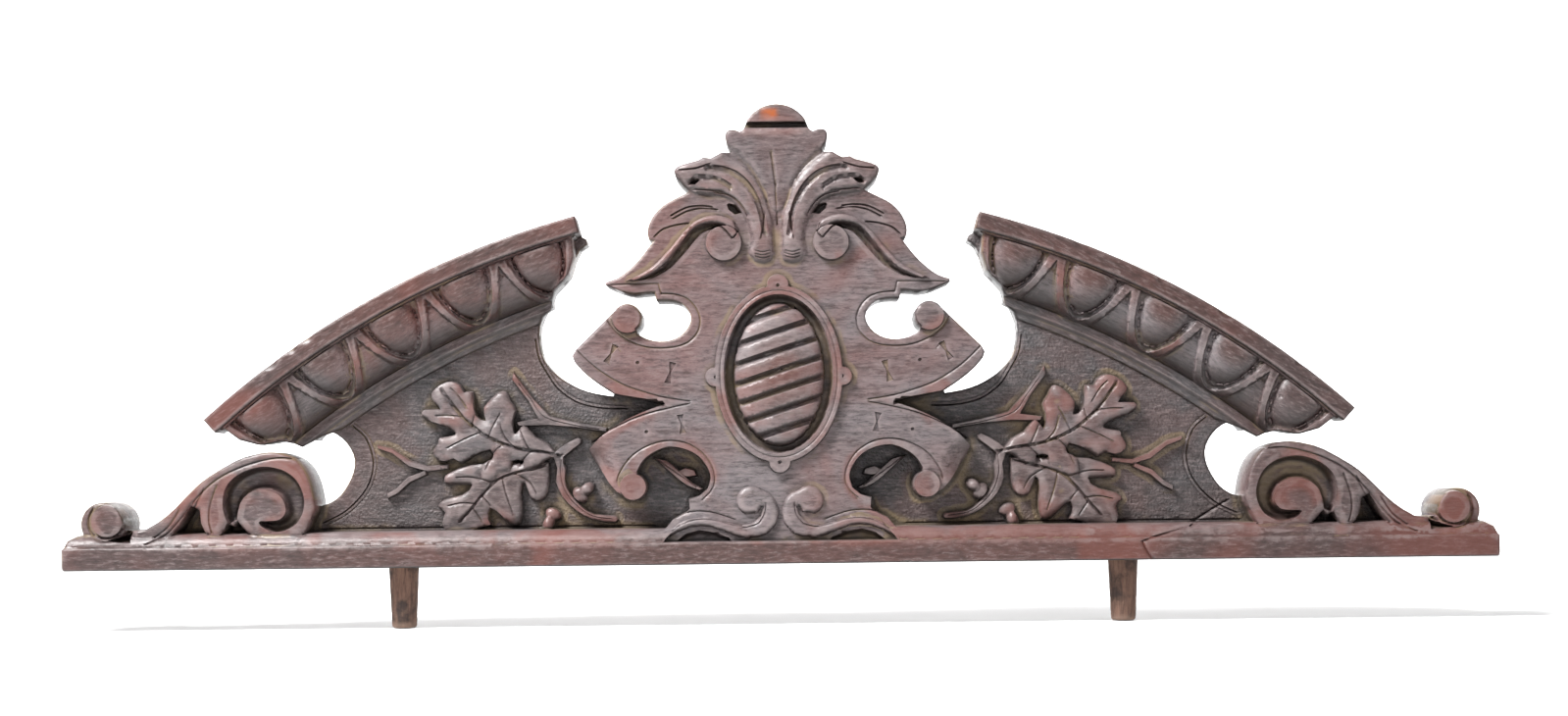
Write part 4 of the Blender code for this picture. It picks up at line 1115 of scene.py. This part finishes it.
def base_depth(z):
    """Depth of the ledge, its convex moulding and the flat field at a height."""
    nose = LEDGE_DEPTH - LEDGE_NOSE_STEP - BASE_OVOLO_PROJECTION
    share = np.clip((z - LEDGE_HEIGHT) / BASE_OVOLO_RISE, 0.0, 1.0)
    ovolo = nose + BASE_OVOLO_PROJECTION * np.sqrt(1.0 - share ** 2)
    depth = np.where(z > LEDGE_HEIGHT + CARVED_WALL / 2, ovolo, LEDGE_DEPTH)
    past = np.clip((z - base_ovolo_top()) / CARVED_WALL, 0.0, 1.0)
    return depth + (FIELD_THICKNESS - depth) * past


def base_lines():
    """Level lines that the ledge and its moulding bend along."""
    heights = [0.0012, LEDGE_HEIGHT - 0.0012, LEDGE_HEIGHT, LEDGE_HEIGHT + CARVED_WALL * 0.6]
    heights += [LEDGE_HEIGHT + BASE_OVOLO_RISE * s for s in (0.3, 0.6, 0.8, 0.92, 1.0)]
    heights.append(base_ovolo_top() + CARVED_WALL)
    half = PANEL_WIDTH / 2
    return [[(-half, z), (half, z)] for z in heights]


def carved_panel():
    tools = panel_tools()
    marks = scars()
    lines = base_lines()
    for tool in tools + marks:
        lines += tool.edges()

    def depth_at(points):
        depths = base_depth(points[:, 1])
        for tool in tools:
            depths = tool.carve(points, depths)
        in_ledge = points[:, 1] <= LEDGE_HEIGHT + CARVED_WALL / 2
        nose = LEDGE_DEPTH - round_off(np.minimum(points[:, 1], LEDGE_HEIGHT - points[:, 1]),
                                       *NOSE_EDGE)
        nose = nose - HAND_WAVE * (1 + waves(points, 0.03, 4.0))
        depths = np.where(in_ledge, nose, depths)
        for mark in marks:
            depths = mark.carve(points, depths)
        return np.minimum(depths, LEDGE_DEPTH)

    return dense_relief("panel_carving", panel_outline(), lines, depth_at, panel_place, 0.0,
                        PANEL_SPACING)


# Raking mouldings, worked out flat: along the rake, and down from its top

def moulding_levels():
    """Depth of the moulding at each distance below its top."""
    levels = [(0.0, CAP_DEPTH), (CAP_HEIGHT, CAP_DEPTH)]
    levels.append((CAP_HEIGHT + MOULDING_WALL, CAP_FILLET_DEPTH))
    below = CAP_HEIGHT + CAP_FILLET_HEIGHT
    levels.append((below, CAP_FILLET_DEPTH))
    top = below + MOULDING_WALL
    for share in (0.0, 0.35, 0.65, 0.87, 1.0):
        depth = OVOLO_FOOT_DEPTH + (OVOLO_TOP_DEPTH - OVOLO_FOOT_DEPTH) * math.sqrt(1 - share ** 2)
        levels.append((top + OVOLO_HEIGHT * share, depth))
    below = top + OVOLO_HEIGHT + MOULDING_WALL
    levels.append((below, FOOT_FILLET_DEPTH))
    below += FOOT_FILLET_HEIGHT
    levels.append((below, FOOT_FILLET_DEPTH))
    for share in (0.4, 1.0):
        drop = math.sin(share * math.pi / 2)
        depth = FOOT_FILLET_DEPTH + (COVE_EDGE_DEPTH - FOOT_FILLET_DEPTH) * drop
        levels.append((below + COVE_HEIGHT * share, depth))
    return levels


def ovolo_end(below):
    """How far in from the cap's end the rounded return starts, at a distance below the top."""
    down = below - (CAP_HEIGHT + CAP_FILLET_HEIGHT + MOULDING_WALL)
    round_part = END_ROUND_RADIUS - math.sqrt(max(0.0, END_ROUND_RADIUS ** 2 - down ** 2))
    return min(END_ROUND_START + round_part, FOOT_FILLET_END)


def ovolo_levels():
    return [below for below, depth in moulding_levels()
            if below > CAP_HEIGHT + CAP_FILLET_HEIGHT + MOULDING_WALL / 2
            and depth <= OVOLO_TOP_DEPTH][:5]


def moulding_end(cove_cut):
    """The outline of one end: the section returned, then the fillet and cove cut back."""
    levels = moulding_levels()
    fillet_end = CAP_DEPTH - CAP_FILLET_DEPTH
    out = [(0.0, 0.0), (0.0, levels[1][0])]
    out += [(fillet_end, levels[2][0]), (fillet_end, levels[3][0])]
    out += [(ovolo_end(below), below) for below in ovolo_levels()]
    cove_top = levels[-3][0]
    out.append((FOOT_FILLET_END + 0.0006, levels[-4][0]))
    out.append((FOOT_FILLET_END + 0.004, cove_top))
    for below, _ in levels[-2:]:
        share = (below - cove_top) / COVE_HEIGHT
        out.append((COVE_END + cove_cut * share, below))
    return out


def rake_length():
    return RAKE_RADIUS / 1000 * math.radians(RAKE_LOW_ANGLE - RAKE_HIGH_ANGLE)


def egg_centres():
    pitch = rake_length() / (EGG_COUNT + 0.17)
    first = (rake_length() - pitch * (EGG_COUNT - 1)) / 2
    return [first + pitch * i for i in range(EGG_COUNT)]


def egg_top():
    return CAP_HEIGHT + CAP_FILLET_HEIGHT + 2 * MOULDING_WALL


def egg_line(centre, size, squeeze=1.0):
    """A U-shaped line round an egg; size 1 is the egg's own edge."""
    reach = (EGG_HALF_WIDTH + (size - 1.0) * EGG_GROOVE_WIDTH) * squeeze
    drop = (EGG_HEIGHT + (size - 1.0) * EGG_GROOVE_WIDTH) * squeeze
    return [(centre + reach * math.cos(math.pi * i / 28),
             egg_top() + drop * math.sin(math.pi * i / 28)) for i in range(29)]


def egg_relief(points):
    """How far the eggs stand out, with the groove, the shell and the dart round each."""
    change = np.full(len(points), -DART_CUT)
    down = points[:, 1] - egg_top()
    for centre in egg_centres():
        x = (points[:, 0] - centre) / EGG_HALF_WIDTH
        y = np.maximum(down, 0.0) / EGG_HEIGHT
        spread = np.sqrt(x ** 2 + y ** 2)
        out = (spread - 1.0) * (EGG_HALF_WIDTH * np.abs(x) + EGG_HEIGHT * y) / np.maximum(
            spread, 1e-6)
        dome = EGG_DOME * np.sqrt(np.clip(1 - spread ** 2, 0, 1)) - EGG_EDGE_DROP
        across = np.clip(out / EGG_GROOVE_WIDTH, 0.0, 1.0)
        ring = -EGG_GROOVE_CUT * np.sin(math.pi * across) ** 0.7
        ring = ring + SHELL_RISE * across
        past = np.clip((out - EGG_GROOVE_WIDTH - SHELL_WIDTH) / SHELL_EDGE, 0.0, 1.0)
        shell = SHELL_RISE - (SHELL_RISE + DART_CUT) * past
        here = np.where(spread < 1.0, dome, np.where(out < EGG_GROOVE_WIDTH, ring, shell))
        change = np.where(out < EGG_GROOVE_WIDTH, here, np.maximum(change, here))
    return change


def raking_moulding(side):
    levels = moulding_levels()
    length = rake_length()
    radius = RAKE_RADIUS / 1000
    belows = [b for b, _ in levels]
    depths = [d for _, d in levels]
    sign = 1 if side == "right" else -1
    top = egg_top()

    def place(s, t, depth):
        angle = RAKE_LOW_ANGLE - math.degrees(s / radius)
        x, z = drawn([rake_point(angle, t * 1000)])[0]
        return (sign * x, LEDGE_DEPTH / 2 - depth, z)

    low_end = moulding_end(COVE_LOW_END_CUT)
    high_end = [(length - s, t) for s, t in reversed(moulding_end(COVE_HIGH_END_CUT))]
    outline = low_end + high_end
    lines = [[(0.0, b), (length, b)] for b in belows[1:-1]]
    lines.append([(0.0, 0.0011), (length, 0.0011)])
    shell_size = 1.0 + (EGG_GROOVE_WIDTH + SHELL_WIDTH) / EGG_GROOVE_WIDTH
    sizes = (1.0, 1.25, 1.5, 1.75, 2.0, shell_size, shell_size + SHELL_EDGE / EGG_GROOVE_WIDTH)
    for centre in egg_centres():
        lines += [egg_line(centre, size) for size in sizes]
        lines += [egg_line(centre, 1.0, squeeze) for squeeze in (0.96, 0.88)]
    centres = egg_centres()
    pins = [((a + b) / 2, top + 0.009) for a, b in zip(centres, centres[1:])]
    if side == "right":
        pins.append((NAIL_ALONG, NAIL_BELOW))
    for s, t in pins:
        lines.append([(s + PIN_RADIUS * math.cos(a), t + PIN_RADIUS * math.sin(a))
                      for a in np.linspace(0, 2 * math.pi, 9)])
    chips = CAP_CHIPS[side]

    def depth_at(points):
        down = points[:, 1]
        depth = np.interp(down, belows, depths)
        share = np.clip((down - top) / OVOLO_HEIGHT, 0.0, 1.0)
        curved = OVOLO_FOOT_DEPTH + (OVOLO_TOP_DEPTH - OVOLO_FOOT_DEPTH) * np.sqrt(1 - share ** 2)
        edge = signed_distance_far(points, outline)
        relief = egg_relief(points) * np.clip(edge / EGG_END_FADE, 0.0, 1.0)
        in_ovolo = (down > top - 0.0002) & (down < top + OVOLO_HEIGHT)
        most = CAP_DEPTH - EGG_CLEAR_OF_CAP
        depth = np.where(in_ovolo, np.minimum(curved + relief, most), depth)
        for s, t in pins:
            near = np.hypot(points[:, 0] - s, down - t)
            depth = depth - PIN_CUT * np.clip(1.4 - near / PIN_RADIUS, 0.0, 1.0)
        in_cap = down < CAP_HEIGHT + 0.0001
        worn = round_off(np.minimum(down, CAP_HEIGHT - down), *CAP_EDGE)
        uneven = HAND_WAVE * (1 + waves(points, 0.025, 2.0))
        depth = np.where(in_cap, depth - worn - uneven, depth)
        for s, reach, cut in chips:
            near = np.hypot((points[:, 0] - s) / reach, down / CHIP_FALL)
            depth = depth - np.where(in_cap, cut * np.clip(1.3 - near, 0.0, 1.0), 0.0)
        return depth

    return dense_relief("moulding_carving_" + side, outline, lines, depth_at, place,
                        FIELD_THICKNESS + FIT_GAP, MOULDING_SPACING, side == "right")


def signed_distance_far(points, loop):
    """Distance inside a loop, worked out a few thousand points at a time."""
    return np.concatenate([signed_distance(points[i:i + 4000], loop)
                           for i in range(0, len(points), 4000)])


# Dowels

def turned_peg(side, x):
    """A hand-cut peg: a slightly faceted taper with a rubbed, uneven end."""
    noise = np.random.default_rng(7 if side == "left" else 11)
    heights = [DOWEL_SOCKET_DEPTH - 0.0006, 0.0]
    heights += [-DOWEL_DROP * i / PEG_ROWS for i in range(1, PEG_ROWS)]
    heights += [-DOWEL_DROP + 0.0012, -DOWEL_DROP + 0.0004, -DOWEL_DROP + 0.0001]
    facets = noise.uniform(0.0, PEG_FACET_CUT, PEG_FACETS)
    mesh = bmesh.new()
    rows = []
    for z in heights:
        share = min(1.0, max(0.0, -z / DOWEL_DROP))
        radius = DOWEL_TOP_RADIUS + (DOWEL_END_RADIUS - DOWEL_TOP_RADIUS) * share
        from_end = DOWEL_DROP + z
        radius -= 0.0014 * max(0.0, 1 - from_end / 0.0016) ** 2
        row = []
        for i in range(PEG_SIDES):
            a = 2 * math.pi * i / PEG_SIDES
            flat = facets[int(PEG_FACETS * i / PEG_SIDES)] * abs(math.sin(PEG_FACETS / 2 * a))
            dent = 0.00012 * math.sin(7 * a + z * 900) + 0.0001 * math.sin(3 * a - z * 400)
            r = radius - flat - abs(dent)
            row.append(mesh.verts.new((x + r * math.cos(a), r * math.sin(a), z)))
        rows.append(row)
    for upper, lower in zip(rows, rows[1:]):
        for i in range(PEG_SIDES):
            j = (i + 1) % PEG_SIDES
            mesh.faces.new((upper[i], lower[i], lower[j], upper[j]))
    for row, turn in ((rows[0], 1), (rows[-1], -1)):
        middle = mesh.verts.new((x, 0.0, row[0].co.z + 0.0003 * (turn < 0)))
        for i in range(PEG_SIDES):
            a, b = row[i], row[(i + 1) % PEG_SIDES]
            mesh.faces.new((a, b, middle) if turn > 0 else (b, a, middle))
    bmesh.ops.recalc_face_normals(mesh, faces=mesh.faces)
    data = bpy.data.meshes.new("dowel_peg_" + side)
    mesh.to_mesh(data)
    mesh.free()
    return finished("dowel_peg_" + side, data)


# Materials

class Nodes:
    """Short calls for wiring a material."""

    def __init__(self, name):
        self.material = bpy.data.materials.new(name)
        self.material.use_nodes = True
        self.tree = self.material.node_tree
        self.shader = self.tree.nodes["Principled BSDF"]

    def new(self, kind, **settings):
        node = self.tree.nodes.new(kind)
        for key, value in settings.items():
            setattr(node, key, value)
        return node

    def link(self, a, b):
        self.tree.links.new(a, b)

    def grain_space(self, tilt, stretch):
        """The object's own space, turned to lie along the grain and stretched along it."""
        place = self.new("ShaderNodeTexCoord")
        turn = self.new("ShaderNodeMapping", vector_type="TEXTURE")
        turn.inputs["Rotation"].default_value = (0.0, math.radians(tilt), 0.0)
        turn.inputs["Scale"].default_value = tuple(1.0 / s for s in stretch)
        self.link(place.outputs["Object"], turn.inputs["Vector"])
        return turn.outputs["Vector"]

    def noise(self, space, scale, detail=4.0, rough=0.6, distortion=0.0):
        node = self.new("ShaderNodeTexNoise")
        node.inputs["Scale"].default_value = scale
        node.inputs["Detail"].default_value = detail
        node.inputs["Roughness"].default_value = rough
        node.inputs["Distortion"].default_value = distortion
        self.link(space, node.inputs["Vector"])
        return node.outputs["Fac"]

    def mark(self, name):
        node = self.new("ShaderNodeAttribute", attribute_name=name)
        return node.outputs["Fac"]

    def ranged(self, value, low, high, out_low=0.0, out_high=1.0):
        node = self.new("ShaderNodeMapRange")
        node.interpolation_type = "SMOOTHSTEP"
        node.clamp = True
        for key, number in (("From Min", low), ("From Max", high), ("To Min", out_low),
                            ("To Max", out_high)):
            node.inputs[key].default_value = number
        self.link(value, node.inputs["Value"])
        return node.outputs["Result"]

    def maths(self, kind, a, b):
        node = self.new("ShaderNodeMath", operation=kind)
        for socket, value in zip(node.inputs, (a, b)):
            if isinstance(value, (int, float)):
                socket.default_value = value
            else:
                self.link(value, socket)
        return node.outputs[0]

    def product(self, a, b):
        return self.maths("MULTIPLY", a, b)

    def parts(self, vector):
        """The X, Y and Z of a vector."""
        node = self.new("ShaderNodeSeparateXYZ")
        self.link(vector, node.inputs[0])
        return node.outputs

    def mixed(self, share, a, b):
        node = self.new("ShaderNodeMix", data_type="RGBA")
        self.link(share, node.inputs[0])
        for socket, value in ((node.inputs[6], a), (node.inputs[7], b)):
            if isinstance(value, tuple):
                socket.default_value = (*value, 1.0)
            else:
                self.link(value, socket)
        return node.outputs[2]

    def layered(self, body, layers):
        """The colour under layers, each given by a value, where it fades in, and how much."""
        for value, low, high, most, colour in layers:
            body = self.mixed(self.ranged(value, low, high, 0.0, most), body, colour)
        return body

    def bump(self, height, strength, distance, under=None):
        node = self.new("ShaderNodeBump")
        node.inputs["Strength"].default_value = strength
        node.inputs["Distance"].default_value = distance
        self.link(height, node.inputs["Height"])
        if under is not None:
            self.link(under, node.inputs["Normal"])
        return node.outputs["Normal"]


def wood_colour(n, tilt, redness, fine, height):
    """Grain, patches and the darker ends, before wear and dirt."""
    plain = n.grain_space(0.0, (1.0, 1.0, 1.0))
    streak = n.noise(n.grain_space(tilt, OAK_STRETCH), 9.0, 3.0, 0.55, 0.4)
    grit = n.noise(n.grain_space(tilt, GRIT_STRETCH), 130.0, 5.0, 0.72, 0.3)
    patch = n.noise(plain, 9.0, 3.0, 0.6, 0.6)
    flush = n.noise(plain, 6.0, 2.0, 0.55, 0.8)
    where = n.parts(plain)
    body = n.mixed(n.ranged(patch, 0.4, 0.68), GREY_OAK, RED_OAK if redness else PLUM_OAK)
    low = n.mixed(n.ranged(patch, 0.4, 0.65), GROUND_OAK, GROUND_RED)
    body = n.mixed(height, low, body)
    body = n.layered(body, [
        (n.mark("height"), 0.8, 0.95, 1.0, LEDGE_OAK),
        (n.maths("ABSOLUTE", where["X"], 0.0), 0.325, 0.36, 0.72, DARK_OAK),
        (where["Z"], 0.215, 0.3, 0.3, DARK_OAK),
        (streak, 0.42, 0.72, 0.4, DARK_OAK),
        (fine, 0.46, 0.7, 0.5, BLACK_OAK),
        (grit, 0.5, 0.68, 0.42, WORN_OAK),
        (grit, 0.5, 0.34, 0.6, BLACK_OAK),
    ])
    return n.mixed(n.product(n.ranged(flush, 0.53, 0.64, 0.0, 0.5), height), body, RED_OAK)


def bare_spot(n, plain, spots):
    """Share of the orange wood that shows through on the knob."""
    where = n.parts(plain)
    gaps = [n.maths("ABSOLUTE", n.maths("SUBTRACT", where[axis], place), 0.0)
            for axis, place in zip("XZ", ORANGE_SPOT)]
    spot = n.product(n.ranged(gaps[0], 0.009, 0.003), n.ranged(gaps[1], 0.006, 0.002))
    return n.product(spot, n.ranged(spots, 0.35, 0.6, 0.3, 1.0))


def stained_oak(name, tilt, redness):
    """Dark waxed oak: grain, redder rubbed places, dust in the hollows, painted shade in the
    crevices and on downward faces, and painted light on upward faces.
    """
    n = Nodes(name)
    plain = n.grain_space(0.0, (1.0, 1.0, 1.0))
    fine = n.noise(n.grain_space(tilt, OAK_STRETCH), 42.0, 6.0, 0.65, 0.25)
    spots = n.noise(plain, 60.0, 4.0, 0.65)
    rub = n.noise(plain, 17.0, 3.0, 0.6, 0.4)
    recess, hollow, ground = n.mark("recess"), n.mark("hollow"), n.mark("ground")
    height = n.ranged(n.mark("height"), 0.05, 0.8)
    body = wood_colour(n, tilt, redness, fine, height)
    worn = n.product(n.ranged(recess, -0.00005, -0.0004), n.ranged(spots, 0.35, 0.62, 0.05, 0.45))
    rubbed = n.product(n.ranged(hollow, -0.0004, -0.0026, 0.12, 0.5 + 0.3 * redness),
                       n.ranged(rub, 0.45, 0.6))
    dusty = n.product(n.ranged(hollow, 0.001, 0.004, 0.0, 0.55),
                      n.ranged(n.noise(plain, 24.0, 3.0, 0.6), 0.46, 0.62))
    rim = n.product(n.ranged(recess, 0.00006, 0.00025, 0.0, 0.5), n.ranged(rub, 0.47, 0.6))
    for share, colour in ((bare_spot(n, plain, spots), ORANGE_OAK), (worn, WORN_OAK),
                          (rubbed, RED_OAK), (dusty, DUST), (rim, DUST)):
        body = n.mixed(share, body, colour)
    upward = n.parts(n.new("ShaderNodeNewGeometry").outputs["Normal"])["Z"]
    body = n.layered(body, [
        # painted shade: the fine recesses and crevices are darkened towards black where shade
        # falls
        (recess, 0.0004, 0.0026, 0.62, BLACK_OAK),
        # painted light: upward-facing surfaces are made paler, as if lit from above
        (upward, 0.12, 0.75, 0.08, TOP_LIGHT_TINT),
        # painted shade: downward-facing undersides are darkened nearly to black
        (upward, -0.12, -0.75, 0.85, BLACK_OAK),
    ])
    n.link(body, n.shader.inputs["Base Color"])
    rough = n.maths("ADD", n.ranged(fine, 0.3, 0.7, 0.31, 0.5), n.product(dusty, 0.35))
    n.link(n.maths("ADD", rough, n.product(ground, 0.12)), n.shader.inputs["Roughness"])
    n.shader.inputs["Specular IOR Level"].default_value = 0.5
    stipple = n.product(n.noise(plain, 520.0, 2.0, 0.5),
                        n.maths("ADD", n.product(ground, 0.92), 0.08))
    relief = n.bump(fine, 0.8, 0.0005, n.bump(stipple, 1.0, 0.0011))
    n.link(relief, n.shader.inputs["Normal"])
    return n.material


def peg_wood():
    """Rough brown wood with upright grain, paler and dirtier at the end."""
    n = Nodes("dowel_wood")
    along = n.grain_space(0.0, PEG_STRETCH)
    fine = n.noise(along, 45.0, 6.0, 0.7, 0.3)
    plain = n.grain_space(0.0, (1.0, 1.0, 1.0))
    patch = n.noise(plain, 70.0, 4.0, 0.6)
    body = n.mixed(n.ranged(fine, 0.35, 0.68), PEG_PALE, PEG_DARK)
    body = n.mixed(n.ranged(patch, 0.42, 0.68, 0.0, 0.8), body, BLACK_OAK)
    low = n.ranged(n.parts(plain)["Z"], -DOWEL_DROP + 0.006, -DOWEL_DROP, 0.0, 0.6)
    body = n.mixed(low, body, PEG_END)
    n.link(body, n.shader.inputs["Base Color"])
    n.shader.inputs["Roughness"].default_value = 0.85
    n.link(n.bump(fine, 0.7, 0.0008), n.shader.inputs["Normal"])
    return n.material


# Pieces

panel = carved_panel()
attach(panel, "root")
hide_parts("carved_panel")
panel.data.materials.append(stained_oak("panel_oak", 0.0, 0))
for side, tilt in (("left", -RAKE_GRAIN_TILT), ("right", RAKE_GRAIN_TILT)):
    moulding = raking_moulding(side)
    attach(moulding, "root")
    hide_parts("raking_moulding_" + side)
    moulding.data.materials.append(stained_oak("moulding_oak_" + side, tilt, 1))
peg_material = peg_wood()
for side, x in (("left", DOWEL_LEFT_X), ("right", DOWEL_RIGHT_X)):
    peg = turned_peg(side, x)
    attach(peg, "root")
    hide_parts("dowel_" + side)
    peg.data.materials.append(peg_material)


# Floor, light and camera

def stage():
    """A pale floor that sweeps up into a backdrop far behind."""
    mesh = bmesh.new()
    wide = FLOOR_HALF_WIDTH
    rows = [(-wide, FLOOR_LEVEL), (SWEEP_START, FLOOR_LEVEL)]
    rows += [(SWEEP_START + SWEEP_RADIUS * math.sin(a),
              FLOOR_LEVEL + SWEEP_RADIUS - SWEEP_RADIUS * math.cos(a))
             for a in np.linspace(0.15, math.pi / 2, 12)]
    rows.append((SWEEP_START + SWEEP_RADIUS, SWEEP_TOP))
    pairs = [(mesh.verts.new((-wide, y, z)), mesh.verts.new((wide, y, z))) for y, z in rows]
    for (a, b), (c, d) in zip(pairs, pairs[1:]):
        mesh.faces.new((a, b, d, c))
    data = bpy.data.meshes.new("studio_sweep")
    mesh.to_mesh(data)
    mesh.free()
    data.polygons.foreach_set("use_smooth", [True] * len(data.polygons))
    floor = placed("studio_sweep", data)
    pale = Nodes("studio_white")
    pale.shader.inputs["Base Color"].default_value = (0.93, 0.93, 0.93, 1.0)
    pale.shader.inputs["Roughness"].default_value = 0.9
    data.materials.append(pale.material)


def area_light(name, place, aim, size, power, spread=180.0):
    lamp = bpy.data.lights.new(name, "AREA")
    lamp.shape = "RECTANGLE"
    lamp.size, lamp.size_y = size
    lamp.energy = power
    lamp.spread = math.radians(spread)
    item = placed(name, lamp)
    item.location = place
    item.rotation_euler = (Vector(aim) - Vector(place)).to_track_quat("-Z", "Y").to_euler()


def camera():
    lens = bpy.data.cameras.new("photo_camera")
    lens.sensor_width = 36.0
    lens.lens = CAMERA_LENS
    lens.shift_y = CAMERA_SHIFT_UP
    item = placed("photo_camera", lens)
    item.location = CAMERA_PLACE
    item.rotation_euler = (math.radians(90.0), math.radians(CAMERA_ROLL), 0.0)
    bpy.context.scene.camera = item


stage()
area_light("light_key", (-1.15, -1.0, 1.75), LIGHT_AIM, (0.7, 0.7), LIGHT_KEY, 110.0)
area_light("light_front", (1.4, -2.2, 1.1), LIGHT_AIM, (1.2, 1.2), LIGHT_FRONT)
area_light("light_backdrop", (0.0, 2.7, 2.6), (0.0, 4.3, 0.1), (6.0, 2.2), LIGHT_BACKDROP)
world = bpy.data.worlds.new("studio_air")
world.use_nodes = True
air = world.node_tree.nodes["Background"]
air.inputs["Color"].default_value = (1.0, 1.0, 1.0, 1.0)
air.inputs["Strength"].default_value = WORLD_LIGHT
bpy.context.scene.world = world
bpy.context.scene.view_settings.view_transform = "Standard"
camera()
